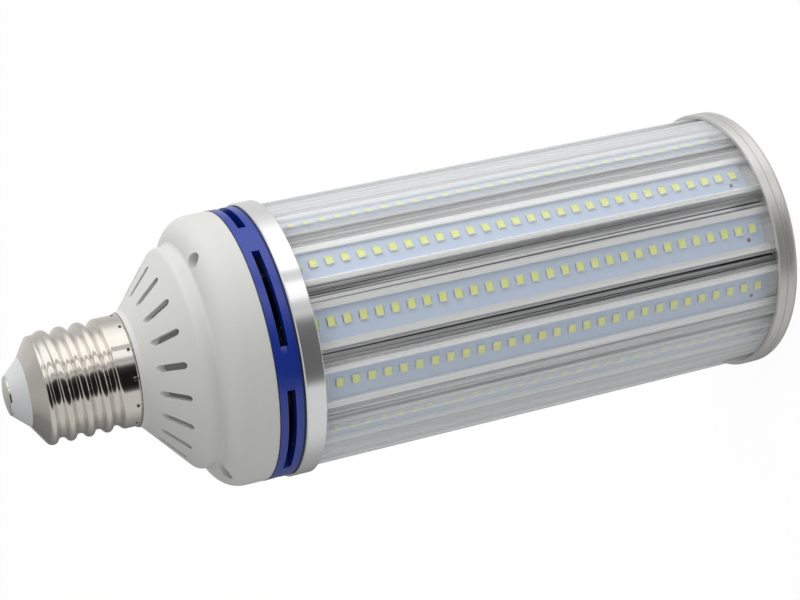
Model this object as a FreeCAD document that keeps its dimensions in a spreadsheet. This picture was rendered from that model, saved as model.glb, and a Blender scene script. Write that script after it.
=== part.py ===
import FreeCAD, Part
import math
import os
import re
import Sketcher

# Corn LED lamp on a large screw cap, in millimetres and degrees. It stands on its end cap: the origin
# is the middle of the end face, +Z runs up the axis to the contact tip and strip 01 faces +X.

SIZES = (
    ("strip_count", 12, "LED strips round the heat sink"),
    ("led_count", 30, "LED packages on each board"),
    ("vent_count", 6, "long slots in the vent ring"),
    ("cone_slot_count", 18, "slots in the housing's cone"),
    ("screw_count", 3, "screws in each set"),
    ("fit_clearance", 0.15, "gap round a piece that sits in another"),
    # End cap
    ("end_cap_wall", 1.4, "wall of the end cap's rim"),
    ("end_cap_height", 8.2, "end cap from face to rim"),
    ("end_cap_floor", 3.6, "floor of the end cap"),
    ("end_cap_edge", 2.2, "rounding of the end cap's outer edge"),
    ("end_cap_lip", 0.5, "rounding of the end cap's rim"),
    ("dish_margin", 9.0, "flat rim round the dish in the end face"),
    ("dish_depth", 0.8, "depth of that dish"),
    # Heat sink extrusion
    ("sink_length", 187.4, "length of the extrusion"),
    ("sink_wall", 2.4, "wall of the extrusion"),
    ("board_depth", 7.7, "board seats below the covers' outside"),
    ("lobe_side", 1.95, "lobe beside a board's edge"),
    ("channel_depth", 10.9, "channel floors below the covers' outside"),
    ("lip_thickness", 1.2, "lips that hold a board down"),
    ("lip_overlap", 0.4, "reach of a lip over the board"),
    ("lip_clearance", 0.1, "gap between board and lip"),
    ("port_radius", 3.0, "screw port outside"),
    ("port_overlap", 0.5, "depth of a screw port in the wall"),
    ("port_turn", 30, "angle of the first screw port"),
    # Boards and LEDs
    ("board_width", 12.0, "LED board width"),
    ("board_thickness", 1.2, "LED board thickness"),
    ("board_margin", 4.9, "board end above the extrusion's end"),
    ("board_end_gap", 2.5, "board's upper end below the extrusion's end"),
    ("led_length", 2.8, "LED package along the strip"),
    ("led_width", 3.5, "LED package across the strip"),
    ("led_height", 0.75, "LED package height"),
    ("led_margin", 4.3, "first LED from the board's end"),
    ("led_end_margin", 4.6, "last LED from the board's upper end"),
    ("led_shift", 0.9, "LED row off the board's middle"),
    # Clear covers
    ("cover_radius", 47.4, "outside of the clear covers"),
    ("cover_wall", 1.0, "wall of a cover"),
    ("cover_clearance", 0.1, "gap between cover and lobe"),
    ("cover_end_clearance", 0.2, "gap at a cover's upper end"),
    ("hook_drop", 1.5, "cover's foot below the lobe's land"),
    ("hook_height", 0.8, "height of a cover's hook"),
    ("hook_length", 0.7, "reach of a cover's hook"),
    ("ring_clearance", 0.2, "gap between the covers and the rings round them"),
    # Base ring
    ("base_ring_wall", 1.7, "wall of the base ring"),
    ("base_ring_height", 7.3, "base ring from rim to top"),
    ("base_ring_floor", 2.0, "floor of the base ring"),
    ("base_ring_opening", 20.0, "opening in that floor"),
    ("base_ring_chamfer", 0.4, "broken edges of the base ring"),
    # Vent ring
    ("vent_step", 0.8, "vent ring inside the base ring's edge"),
    ("vent_height", 9.4, "visible height of the vent ring"),
    ("vent_width", 2.9, "slot height"),
    ("vent_span", 45, "slot angle"),
    ("vent_middle", 4.9, "slot middle above the base ring"),
    ("spigot_height", 2.0, "spigot inside the drum"),
    ("spigot_wall", 1.6, "wall of the spigot"),
    ("lug_length", 4.0, "reach of the driver board's lugs"),
    ("lug_width", 6.0, "width of the lugs"),
    ("lug_height", 2.0, "thickness of the lugs"),
    # Driver housing
    ("drum_step", 0.1, "housing drum inside the vent ring's edge"),
    ("drum_height", 7.1, "straight part of the drum"),
    ("shoulder_radius", 9.0, "rounding of the shoulder"),
    ("lip_height", 4.8, "height of the lip"),
    ("lip_round", 3.2, "rounding of the lip"),
    ("lip_fillet", 1.8, "fillet between shoulder and lip"),
    ("cone_ledge", 0.6, "cone's small end outside the screw shell's rim"),
    ("cone_height", 16.2, "height of the cone"),
    ("collar_height", 1.8, "collar from the cone to the screw shell"),
    ("housing_wall", 2.2, "wall of the housing"),
    ("neck_height", 8.5, "neck inside the screw shell"),
    ("slot_from_neck", 3.7, "inner ends of the cone slots from the cone's small end"),
    ("slot_from_lip", 5.2, "outer ends of the cone slots from the lip"),
    ("cone_slot_width", 2.4, "width of the cone slots"),
    # Screws
    ("screw_turn", 75, "angle of the first housing screw"),
    ("screw_inset", 5.4, "housing screws inside the drum's surface"),
    ("screw_radius", 1.5, "housing screw shank"),
    ("screw_head_radius", 2.7, "screw heads"),
    ("screw_head_height", 1.3, "height of the screw heads"),
    ("screw_tip", 1.5, "screw tip past the base ring's floor"),
    ("boss_radius", 4.4, "screw boss in the housing"),
    ("pillar_radius", 3.0, "screw pillar on the vent ring"),
    ("recess_radius", 3.0, "recess over a screw head"),
    ("recess_level", 3.4, "floor of the shoulder recess above the drum"),
    ("cap_recess", 1.5, "depth of the recess in the end cap"),
    ("port_screw_radius", 1.4, "port screw shank"),
    ("port_screw_length", 12.0, "port screw shank length"),
    # Screw cap
    ("shell_radius", 19.7, "skirt and thread crest"),
    ("shell_wall", 2.5, "wall of the screw shell"),
    ("rim_step", 0.5, "staked rim round the skirt"),
    ("rim_height", 0.2, "height of the rim"),
    ("flare_height", 0.3, "flare above the rim"),
    ("skirt_height", 2.2, "plain skirt above the flare"),
    ("barrel_taper", 0.1, "draw of the barrel from the skirt to its end"),
    ("thread_pitch", 6.35, "thread pitch"),
    ("thread_depth", 1.9, "thread depth"),
    ("thread_land", 0.4, "flat on the crest"),
    ("thread_start", 5.9, "first turn above the rim's seat"),
    ("barrel_height", 31.0, "rim's seat to the end of the thread"),
    ("shell_cone_height", 4.9, "cone at the end of the shell"),
    ("shell_mouth", 10.5, "mouth of the shell"),
    ("mouth_wall", 1.2, "wall at the mouth"),
    ("insulator_radius", 12.0, "foot of the insulator"),
    ("insulator_height", 5.3, "height of the insulator"),
    ("insulator_tip", 7.1, "tip of the insulator"),
    ("insulator_spigot", 2.5, "spigot in the shell's mouth"),
    ("contact_radius", 6.8, "centre contact"),
    ("contact_edge", 0.5, "edge of the contact"),
    ("contact_dome", 1.0, "dome of the contact"),
    ("stem_radius", 1.6, "rivet stem"),
    ("stem_drop", 4.0, "stem below the insulator's foot"),
    # Driver
    ("driver_thickness", 1.6, "driver board"),
    ("transformer_length", 22.0, "transformer along X"),
    ("transformer_width", 24.0, "transformer along Y"),
    ("transformer_height", 13.5, "transformer height"),
    ("transformer_inset", 13.3, "transformer from the driver board's edge"),
    ("transformer_y", -6.0, "transformer's corner"),
    ("bridge_length", 14.0, "bridge along X"),
    ("bridge_width", 4.0, "bridge along Y"),
    ("bridge_height", 12.0, "bridge height"),
    ("bridge_x", -25.0, "bridge's corner"),
    ("bridge_y", -22.0, "bridge's corner"),
    ("choke_radius", 8.0, "choke"),
    ("choke_bore", 3.5, "bore of the choke"),
    ("choke_height", 9.0, "choke height"),
    ("choke_x", 4.0, "choke's middle"),
    ("choke_y", -24.0, "choke's middle"),
    ("large_capacitor_radius", 8.5, "input capacitor"),
    ("large_capacitor_height", 13.5, "input capacitor height"),
    ("large_capacitor_x", 20.0, "input capacitor's middle"),
    ("large_capacitor_y", 17.0, "input capacitor's middle"),
    ("small_capacitor_radius", 6.0, "output capacitor"),
    ("small_capacitor_height", 13.0, "output capacitor height"),
    ("small_capacitor_x", 24.0, "output capacitor's middle"),
    ("small_capacitor_y", -12.0, "output capacitor's middle"),
    # Leads
    ("wire_radius", 0.8, "live and neutral leads"),
    ("neutral_inset", 2.85, "neutral lead inside the neck's bore"),
    ("neutral_bend", 3.0, "bend of the neutral lead"),
    ("neutral_level", 3.5, "neutral joint above the neck"),
    ("lead_width", 1.8, "flat strip lead"),
    ("lead_thickness", 0.9, "flat strip lead"),
    ("lead_overlap", 2.5, "lead on the board's end"),
)

# Places and sizes that follow from the driving sizes
DERIVED = {
    "sink_top": "end_cap_floor + sink_length",
    "ring_top": "sink_top + base_ring_floor",
    "ring_rim": "ring_top - base_ring_height",
    "ring_bore": "cover_radius + ring_clearance",
    "base_ring_radius": "ring_bore + base_ring_wall",
    "end_cap_radius": "ring_bore + end_cap_wall",
    "dish_radius": "end_cap_radius - dish_margin",
    "vent_radius": "base_ring_radius - vent_step",
    "drum_radius": "vent_radius - drum_step",
    "vent_top": "ring_top + vent_height",
    "spigot_top": "vent_top + spigot_height",
    "spigot_radius": "drum_radius - housing_wall - fit_clearance",
    "vent_bore": "spigot_radius - spigot_wall",
    "drum_top": "vent_top + drum_height",
    "lip_radius": "drum_radius - shoulder_radius",
    "shoulder_top": "drum_top + shoulder_radius",
    "lip_top": "shoulder_top + lip_height",
    "cone_top": "lip_top + cone_height",
    "shell_seat": "cone_top + collar_height",
    "cone_radius": "rim_radius + cone_ledge",
    "cone_slope": "cone_height / (lip_radius - cone_radius)",
    "cone_drop": "housing_wall * sqrt(1 + cone_slope ^ 2)",
    "cone_slot_inner": "cone_radius + slot_from_neck",
    "cone_slot_outer": "lip_radius - slot_from_lip",
    "screw_place": "drum_radius - screw_inset",
    "rim_radius": "shell_radius + rim_step",
    "shell_bore": "shell_radius - shell_wall",
    "neck_radius": "shell_bore - fit_clearance",
    "neck_bore": "neck_radius - housing_wall",
    "neck_top": "cone_top + neck_height",
    "recess_floor": "drum_top + recess_level",
    "hole_radius": "screw_radius + fit_clearance",
    "port_hole_radius": "port_screw_radius + fit_clearance",
    "flare_top": "shell_seat + rim_height + flare_height",
    "skirt_top": "flare_top + skirt_height",
    "barrel_top": "shell_seat + barrel_height",
    "shell_top": "barrel_top + shell_cone_height",
    "insulator_top": "shell_top + insulator_height",
    "stem_bottom": "shell_top - stem_drop",
    "thread_root": "shell_radius - thread_depth",
    "thread_flank": "shell_radius - thread_depth / 2",
    "thread_half": "(thread_pitch - thread_land) / 2",
    "thread_angle": "2 * atan(thread_depth / thread_half)",
    "thread_round": "thread_half / (2 * sin(thread_angle))",
    "thread_base": "shell_seat + thread_start",
    "board_seat": "cover_radius - board_depth",
    "board_top": "board_seat + board_thickness",
    "board_base": "end_cap_floor + board_margin",
    "board_length": "sink_length - board_margin - board_end_gap",
    "led_pitch": "(board_length - led_margin - led_end_margin) / (led_count - 1)",
    "board_slot": "board_width / 2 + fit_clearance",
    "lip_edge": "board_width / 2 - lip_overlap",
    "lip_level": "board_top + lip_clearance",
    "land": "lip_level + lip_thickness",
    "lobe_half": "board_width / 2 + lobe_side",
    "hollow_top": "board_seat - sink_wall",
    "channel_floor": "cover_radius - channel_depth",
    "sink_bore": "channel_floor - sink_wall",
    "port_place": "hollow_top - port_radius + port_overlap",
    "cover_bore": "cover_radius - cover_wall",
    "cover_inner": "lobe_half + cover_clearance",
    "cover_half": "cover_inner + cover_wall",
    "hook_foot": "land - hook_drop",
    "hook_top": "hook_foot + hook_height",
    "hook_inner": "cover_inner - hook_length",
    "driver_radius": "vent_bore - fit_clearance",
    "driver_top": "vent_top + driver_thickness",
    "transformer_x": "transformer_inset - driver_radius",
    "neutral_place": "neck_bore - neutral_inset",
    "neutral_joint": "neck_top + neutral_level",
    "neutral_end": "sqrt(shell_bore ^ 2 - wire_radius ^ 2)",
    "dome_radius": "(contact_radius ^ 2 + contact_dome ^ 2) / (2 * contact_dome)",
}

SIZE_NAMES = {name for name, number, meaning in SIZES}

doc = FreeCAD.newDocument("corn_lamp")
sheet = doc.addObject("Spreadsheet::Sheet", "sizes")
for row, (name, number, meaning) in enumerate(SIZES, start=1):
    sheet.set(f"A{row}", meaning)
    sheet.set(f"B{row}", str(number))
    sheet.setAlias(f"B{row}", name)
doc.recompute()

nodes = []


def bound(text):
    """Expression text with derived names spelled out and size names pointed at the sheet."""

    def spell(match):
        word = match.group()
        if word in DERIVED:
            return f"({bound(DERIVED[word])})"
        return f"sizes.{word}" if word in SIZE_NAMES else word

    return re.sub(r"[a-z][a-z_]*", spell, text)


def number_of(text):
    """Number that an expression comes to with the sizes on the sheet."""
    return float(sheet.evalExpression(bound(text)))


def new_body(label, turn=None, several=False):
    """Body turned about the axis, of one solid or of several."""
    body = doc.addObject("PartDesign::Body", label)
    body.Label = label
    body.AllowCompound = several
    if turn is not None:
        body.Placement = FreeCAD.Placement(FreeCAD.Vector(), FreeCAD.Rotation(FreeCAD.Vector(0, 0, 1), 1))
        body.setExpression("Placement.Rotation.Angle", bound(turn))
    return body


def new_sketch(body, name, role, level=None, turn=None):
    """Sketch on an origin plane of the body, raised to a level or turned about the lamp's axis."""
    sketch = body.newObject("Sketcher::SketchObject", name)
    plane = next(item for item in body.Origin.OriginFeatures if item.Role == role)
    sketch.AttachmentSupport = [(plane, "")]
    sketch.MapMode = "FlatFace"
    if turn is not None:
        axis = FreeCAD.Vector(0, 0, 1) if role == "XY_Plane" else FreeCAD.Vector(0, 1, 0)
        sketch.AttachmentOffset = FreeCAD.Placement(FreeCAD.Vector(), FreeCAD.Rotation(axis, 1))
        sketch.setExpression("AttachmentOffset.Rotation.Angle", bound(turn))
    if level is not None:
        sketch.setExpression("AttachmentOffset.Base.z", bound(level))
    return sketch


def tie(sketch, kind, geometry, text):
    """Dimension of the sketch whose value follows an expression."""
    index = sketch.addConstraint(Sketcher.Constraint(kind, *geometry, number_of(text)))
    sketch.setExpression(f"Constraints[{index}]", bound(text))


def tie_point(sketch, curve, end, x_text, y_text):
    """Place of a curve's point, measured from the sketch's origin."""
    tie(sketch, "DistanceX", (-1, 1, curve, end), x_text)
    tie(sketch, "DistanceY", (-1, 1, curve, end), y_text)


def arc_between(start, finish, radius, side):
    """Arc shorter than half a turn, with its middle to the left (1) or right (-1) of the way along."""
    chord = finish - start
    reach = math.sqrt(max(radius ** 2 - (chord.Length / 2) ** 2, 0))
    across = FreeCAD.Vector(-chord.y, chord.x, 0).normalize()
    middle = (start + finish) * 0.5 + across * reach * side
    first, last = (start, finish) if side > 0 else (finish, start)
    angles = [math.atan2(point.y - middle.y, point.x - middle.x) for point in (first, last)]
    if angles[1] < angles[0]:
        angles[1] += 2 * math.pi
    return Part.ArcOfCircle(Part.Circle(middle, FreeCAD.Vector(0, 0, 1), radius), *angles)


def draw(sketch, corners):
    """Closed outline through corners (x, y), or (x, y, radius, side) where an arc leaves the corner."""
    points = [FreeCAD.Vector(number_of(corner[0]), number_of(corner[1]), 0) for corner in corners]
    ends = []
    for index, corner in enumerate(corners):
        start, finish = points[index], points[(index + 1) % len(points)]
        if len(corner) == 2:
            curve = sketch.addGeometry(Part.LineSegment(start, finish))
            ends.append((curve, 1, 2))
            continue
        radius, side = corner[2:]
        curve = sketch.addGeometry(arc_between(start, finish, number_of(radius), side))
        ends.append((curve, 1, 2) if side > 0 else (curve, 2, 1))
    for index, (curve, start, finish) in enumerate(ends):
        previous, _, previous_end = ends[index - 1]
        sketch.addConstraint(Sketcher.Constraint("Coincident", previous, previous_end, curve, start))
        tie_point(sketch, curve, start, *corners[index][:2])
        if len(corners[index]) > 2:
            tie(sketch, "Radius", (curve,), corners[index][2])


def draw_box(sketch, x_low, x_high, y_low, y_high):
    """Rectangle between two values of x and two of y."""
    draw(sketch, [(x_low, y_low), (x_high, y_low), (x_high, y_high), (x_low, y_high)])


def draw_circle(sketch, x_text, y_text, radius):
    """Circle with its middle at a place."""
    middle = FreeCAD.Vector(number_of(x_text), number_of(y_text), 0)
    curve = sketch.addGeometry(Part.Circle(middle, FreeCAD.Vector(0, 0, 1), number_of(radius)))
    tie_point(sketch, curve, 3, x_text, y_text)
    tie(sketch, "Radius", (curve,), radius)


def draw_slot(sketch, x_low, x_high, width):
    """Slot with round ends along the sketch's x axis."""
    low, high, half = number_of(x_low), number_of(x_high), number_of(width) / 2
    up = FreeCAD.Vector(0, 0, 1)
    quarter = math.pi / 2
    left = sketch.addGeometry(Part.ArcOfCircle(
        Part.Circle(FreeCAD.Vector(low + half, 0, 0), up, half), quarter, 3 * quarter))
    right = sketch.addGeometry(Part.ArcOfCircle(
        Part.Circle(FreeCAD.Vector(high - half, 0, 0), up, half), -quarter, quarter))
    bottom = sketch.addGeometry(Part.LineSegment(
        FreeCAD.Vector(low + half, -half, 0), FreeCAD.Vector(high - half, -half, 0)))
    top = sketch.addGeometry(Part.LineSegment(
        FreeCAD.Vector(high - half, half, 0), FreeCAD.Vector(low + half, half, 0)))
    for joint in ((left, 2, bottom, 1), (bottom, 2, right, 1), (right, 2, top, 1), (top, 2, left, 1)):
        sketch.addConstraint(Sketcher.Constraint("Tangent", *joint))
    tie_point(sketch, left, 3, f"{x_low} + {width} / 2", "0")
    tie_point(sketch, right, 3, f"{x_high} - {width} / 2", "0")
    tie(sketch, "Radius", (left,), f"{width} / 2")


def extrude(body, kind, sketch, length):
    """Pad that rises from the sketch, or Pocket that sinks below it."""
    feature = body.newObject(f"PartDesign::{kind}", f"{sketch.Name}_{kind}")
    feature.Profile = sketch
    feature.setExpression("Length", bound(length))
    return feature


def revolve(body, sketch, kind="Revolution", angle="360"):
    """Turn a profile about the axis, as a solid or as a cut on both sides of the sketch."""
    feature = body.newObject(f"PartDesign::{kind}", f"{sketch.Name}_{kind}")
    feature.Profile = sketch
    feature.ReferenceAxis = (sketch, ["V_Axis"])
    feature.Midplane = kind == "Groove"
    feature.setExpression("Angle", bound(angle))
    return feature


def repeat_round(body, features, axis, count):
    """Copies of features round the axis."""
    pattern = body.newObject("PartDesign::PolarPattern", f"{features[0].Name}_round")
    pattern.Originals = features
    pattern.Axis = axis
    pattern.Angle = 360
    pattern.setExpression("Occurrences", bound(count))
    body.Tip = pattern
    doc.recompute()
    return pattern


def ring_edges(shape, radius, level):
    """Names of the round edges at a radius and a height."""
    names = []
    for index, edge in enumerate(shape.Edges, start=1):
        curve = edge.Curve
        if not isinstance(curve, Part.Circle):
            continue
        if abs(curve.Radius - radius) < 1e-4 and abs(curve.Center.z - level) < 1e-4:
            names.append(f"Edge{index}")
    return names


def soften(body, kind, places, size):
    """Fillet or Chamfer on the round edges at places (radius, level)."""
    doc.recompute()
    base = body.Tip
    names = []
    for radius, level in places:
        names += ring_edges(base.Shape, number_of(radius), number_of(level))
    feature = body.newObject(f"PartDesign::{kind}", f"{body.Name}_{kind}")
    feature.Base = (base, names)
    feature.setExpression("Radius" if kind == "Fillet" else "Size", bound(size))
    doc.recompute()
    return feature


def finish(piece, label):
    """Name a finished piece and put it on the list of nodes."""
    piece.Label = label
    nodes.append(piece)


def turned_piece(label, corners):
    """Body turned from one closed profile (radius, height)."""
    body = new_body(label)
    sketch = new_sketch(body, f"{label}_profile", "XZ_Plane")
    draw(sketch, corners)
    revolve(body, sketch)
    return body


def screw_set(label, place, turn, seat, shank_radius, shank_length, head_up):
    """Identical screws round the axis, head up or head down on their seat."""
    body = new_body(label, turn, several=True)
    shank = new_sketch(body, f"{label}_shank", "XY_Plane", f"{seat} - {shank_length}" if head_up else seat)
    draw_circle(shank, place, "0", shank_radius)
    head = new_sketch(body, f"{label}_head", "XY_Plane", seat if head_up else f"{seat} - screw_head_height")
    draw_circle(head, place, "0", "screw_head_radius")
    parts = [extrude(body, "Pad", shank, shank_length), extrude(body, "Pad", head, "screw_head_height")]
    repeat_round(body, parts, (shank, ["N_Axis"]), "screw_count")
    finish(body, label)


def make_contact_tip():
    """Domed rivet in the middle of the cap."""
    body = turned_piece("contact_tip", [
        ("0", "stem_bottom"),
        ("stem_radius", "stem_bottom"),
        ("stem_radius", "insulator_top"),
        ("contact_radius", "insulator_top"),
        ("contact_radius", "insulator_top + contact_edge", "dome_radius", 1),
        ("0", "insulator_top + contact_edge + contact_dome"),
    ])
    finish(body, "contact_tip")


def make_cap_insulator():
    """Insulating cone with a spigot in the shell's mouth."""
    body = turned_piece("cap_insulator", [
        ("stem_radius + fit_clearance", "shell_top - insulator_spigot"),
        ("shell_mouth - fit_clearance", "shell_top - insulator_spigot"),
        ("shell_mouth - fit_clearance", "shell_top"),
        ("insulator_radius", "shell_top"),
        ("insulator_tip", "insulator_top"),
        ("stem_radius + fit_clearance", "insulator_top"),
    ])
    finish(body, "cap_insulator")


def make_screw_shell():
    """Plated shell: a turned blank with a flared rim, and a rounded thread cut round it."""
    body = turned_piece("screw_shell", [
        ("shell_bore", "shell_seat"),
        ("rim_radius", "shell_seat"),
        ("rim_radius", "shell_seat + rim_height"),
        ("shell_radius", "flare_top"),
        ("shell_radius", "skirt_top"),
        ("shell_radius - barrel_taper", "barrel_top"),
        ("insulator_radius", "shell_top"),
        ("shell_mouth", "shell_top"),
        ("shell_mouth", "shell_top - mouth_wall"),
        ("shell_bore", "barrel_top - mouth_wall"),
    ])
    groove = new_sketch(body, "thread_groove", "YZ_Plane")
    draw(groove, [
        ("shell_radius + thread_depth", "thread_base - thread_half"),
        ("shell_radius + thread_depth", "thread_base + thread_half"),
        ("shell_radius", "thread_base + thread_half", "thread_round", 1),
        ("thread_flank", "thread_base + thread_half / 2", "thread_round", 1),
        ("thread_flank", "thread_base - thread_half / 2", "thread_round", 1),
        ("shell_radius", "thread_base - thread_half"),
    ])
    thread = body.newObject("PartDesign::SubtractiveHelix", "thread")
    thread.Profile = groove
    thread.ReferenceAxis = (groove, ["V_Axis"])
    thread.Mode = "pitch-height-angle"
    thread.setExpression("Pitch", bound("thread_pitch"))
    thread.setExpression("Height", bound("barrel_top + thread_pitch - thread_base"))
    finish(body, "screw_shell")


def make_driver_housing():
    """Moulded housing: the outer form with recesses and slots, less the core that hollows it."""
    blank = new_body("housing_blank", "screw_turn")
    outline = new_sketch(blank, "housing_outline", "XZ_Plane")
    draw(outline, [
        ("0", "vent_top"),
        ("drum_radius", "vent_top"),
        ("drum_radius", "drum_top", "shoulder_radius", 1),
        ("lip_radius", "shoulder_top"),
        ("lip_radius", "lip_top"),
        ("cone_radius", "cone_top"),
        ("rim_radius", "shell_seat"),
        ("neck_radius", "shell_seat"),
        ("neck_radius", "neck_top"),
        ("0", "neck_top"),
    ])
    revolve(blank, outline)
    soften(blank, "Fillet", [("lip_radius", "lip_top")], "lip_round")
    soften(blank, "Fillet", [("lip_radius", "shoulder_top")], "lip_fillet")
    recess = new_sketch(blank, "housing_recess", "XY_Plane", "lip_top")
    draw_circle(recess, "screw_place", "0", "recess_radius")
    hole = new_sketch(blank, "housing_hole", "XY_Plane", "lip_top")
    draw_circle(hole, "screw_place", "0", "hole_radius")
    cuts = [extrude(blank, "Pocket", recess, "lip_top - recess_floor"),
            extrude(blank, "Pocket", hole, "lip_top - vent_top")]
    repeat_round(blank, cuts, (recess, ["N_Axis"]), "screw_count")
    slot = new_sketch(blank, "cone_slot", "XY_Plane", "cone_top", "180 / cone_slot_count")
    draw_slot(slot, "cone_slot_inner", "cone_slot_outer", "cone_slot_width")
    vents = extrude(blank, "Pocket", slot, "cone_top - shoulder_top")
    repeat_round(blank, [vents], (slot, ["N_Axis"]), "cone_slot_count")

    core = new_body("housing_core", "screw_turn")
    hollow = new_sketch(core, "core_outline", "XZ_Plane")
    draw(hollow, [
        ("0", "vent_top - housing_wall"),
        ("drum_radius - housing_wall", "vent_top - housing_wall"),
        ("drum_radius - housing_wall", "drum_top", "shoulder_radius - housing_wall", 1),
        ("lip_radius", "shoulder_top - housing_wall"),
        ("lip_radius - housing_wall", "shoulder_top - housing_wall"),
        ("lip_radius - housing_wall",
         "cone_top - cone_slope * (lip_radius - housing_wall - cone_radius) - cone_drop"),
        ("cone_radius + (housing_wall - cone_drop) / cone_slope", "cone_top - housing_wall"),
        ("neck_bore", "cone_top - housing_wall"),
        ("neck_bore", "neck_top + housing_wall"),
        ("0", "neck_top + housing_wall"),
    ])
    revolve(core, hollow)
    boss = new_sketch(core, "core_boss", "XY_Plane", "lip_top")
    draw_circle(boss, "screw_place", "0", "boss_radius")
    bosses = extrude(core, "Pocket", boss, "lip_top - spigot_top")
    repeat_round(core, [bosses], (boss, ["N_Axis"]), "screw_count")

    housing = doc.addObject("Part::Cut", "driver_housing")
    housing.Base = blank
    housing.Tool = core
    finish(housing, "driver_housing")


def make_vent_ring():
    """Slotted ring with a spigot in the drum, screw pillars and lugs under the driver board."""
    body = new_body("vent_ring", "screw_turn")
    profile = new_sketch(body, "vent_profile", "XZ_Plane")
    draw(profile, [
        ("vent_bore", "ring_top"),
        ("vent_radius", "ring_top"),
        ("vent_radius", "vent_top"),
        ("spigot_radius", "vent_top"),
        ("spigot_radius", "spigot_top"),
        ("vent_bore", "spigot_top"),
    ])
    revolve(body, profile)
    window = new_sketch(body, "vent_window", "XZ_Plane", turn="180 / vent_count")
    draw_box(window, "vent_bore - vent_width", "vent_radius + vent_width",
             "ring_top + vent_middle - vent_width / 2", "ring_top + vent_middle + vent_width / 2")
    slots = revolve(body, window, "Groove", "vent_span")
    repeat_round(body, [slots], (window, ["V_Axis"]), "vent_count")
    pillar = new_sketch(body, "vent_pillar", "XY_Plane", "ring_top")
    draw_circle(pillar, "screw_place", "0", "pillar_radius")
    pillars = extrude(body, "Pad", pillar, "spigot_top - ring_top")
    hole = new_sketch(body, "vent_hole", "XY_Plane", "spigot_top")
    draw_circle(hole, "screw_place", "0", "hole_radius")
    holes = extrude(body, "Pocket", hole, "spigot_top - ring_top")
    repeat_round(body, [pillars, holes], (pillar, ["N_Axis"]), "screw_count")
    lug = new_sketch(body, "vent_lug", "XY_Plane", "vent_top - lug_height", "180 / screw_count")
    draw_box(lug, "vent_bore - lug_length", "vent_bore + spigot_wall / 2", "-lug_width / 2", "lug_width / 2")
    lugs = extrude(body, "Pad", lug, "lug_height")
    repeat_round(body, [lugs], (lug, ["N_Axis"]), "screw_count")
    finish(body, "vent_ring")


def make_base_ring():
    """Polished ring over the covers' ends, with a floor that the extrusion and vent ring meet."""
    body = turned_piece("base_ring", [
        ("base_ring_opening", "sink_top"),
        ("ring_bore", "sink_top"),
        ("ring_bore", "ring_rim"),
        ("base_ring_radius", "ring_rim"),
        ("base_ring_radius", "ring_top"),
        ("base_ring_opening", "ring_top"),
    ])
    soften(body, "Chamfer", [("base_ring_radius", "ring_rim"), ("base_ring_radius", "ring_top")],
           "base_ring_chamfer")
    lead = new_sketch(body, "ring_lead", "XY_Plane", "ring_top")
    draw_box(lead, "board_top - fit_clearance", "board_top + lead_thickness + fit_clearance",
             "-lead_width / 2 - fit_clearance", "lead_width / 2 + fit_clearance")
    leads = extrude(body, "Pocket", lead, "base_ring_floor")
    repeat_round(body, [leads], (lead, ["N_Axis"]), "strip_count")
    tapped = new_sketch(body, "ring_tapped", "XY_Plane", "ring_top", "screw_turn")
    draw_circle(tapped, "screw_place", "0", "screw_radius")
    fixing = new_sketch(body, "ring_fixing", "XY_Plane", "ring_top", "port_turn")
    draw_circle(fixing, "port_place", "0", "port_hole_radius")
    holes = [extrude(body, "Pocket", tapped, "base_ring_floor"),
             extrude(body, "Pocket", fixing, "base_ring_floor")]
    repeat_round(body, holes, (tapped, ["N_Axis"]), "screw_count")
    finish(body, "base_ring")


def make_heat_sink():
    """Extrusion: a tube with one hollow lobe for each strip, slotted for board and cover."""
    body = new_body("heat_sink")
    tube = new_sketch(body, "sink_tube", "XY_Plane", "end_cap_floor")
    draw_circle(tube, "0", "0", "channel_floor")
    draw_circle(tube, "0", "0", "sink_bore")
    extrude(body, "Pad", tube, "sink_length")
    lobe = new_sketch(body, "sink_lobe", "XY_Plane", "end_cap_floor")
    draw_box(lobe, "channel_floor - sink_wall / 2", "land", "-lobe_half", "lobe_half")
    lobes = extrude(body, "Pad", lobe, "sink_length")
    repeat_round(body, [lobes], (lobe, ["N_Axis"]), "strip_count")
    cut = new_sketch(body, "sink_cut", "XY_Plane", "sink_top")
    draw_box(cut, "sink_bore - sink_wall", "hollow_top", "sink_wall - lobe_half", "lobe_half - sink_wall")
    draw(cut, [
        ("board_seat", "-board_slot"),
        ("lip_level", "-board_slot"),
        ("lip_level", "-lip_edge"),
        ("land + lip_thickness", "-lip_edge"),
        ("land + lip_thickness", "lip_edge"),
        ("lip_level", "lip_edge"),
        ("lip_level", "board_slot"),
        ("board_seat", "board_slot"),
    ])
    groove_low, groove_high = "hook_foot - cover_clearance", "hook_top + cover_clearance"
    draw_box(cut, groove_low, groove_high, "hook_inner - cover_clearance", "lobe_half + cover_wall")
    draw_box(cut, groove_low, groove_high, "-lobe_half - cover_wall", "cover_clearance - hook_inner")
    cuts = extrude(body, "Pocket", cut, "sink_length")
    repeat_round(body, [cuts], (cut, ["N_Axis"]), "strip_count")
    port = new_sketch(body, "sink_port", "XY_Plane", "end_cap_floor", "port_turn")
    draw_circle(port, "port_place", "0", "port_radius")
    ports = extrude(body, "Pad", port, "sink_length")
    bore = new_sketch(body, "port_bore", "XY_Plane", "sink_top", "port_turn")
    draw_circle(bore, "port_place", "0", "port_screw_radius")
    bores = extrude(body, "Pocket", bore, "sink_length")
    repeat_round(body, [ports, bores], (port, ["N_Axis"]), "screw_count")
    finish(body, "heat_sink")


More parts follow.
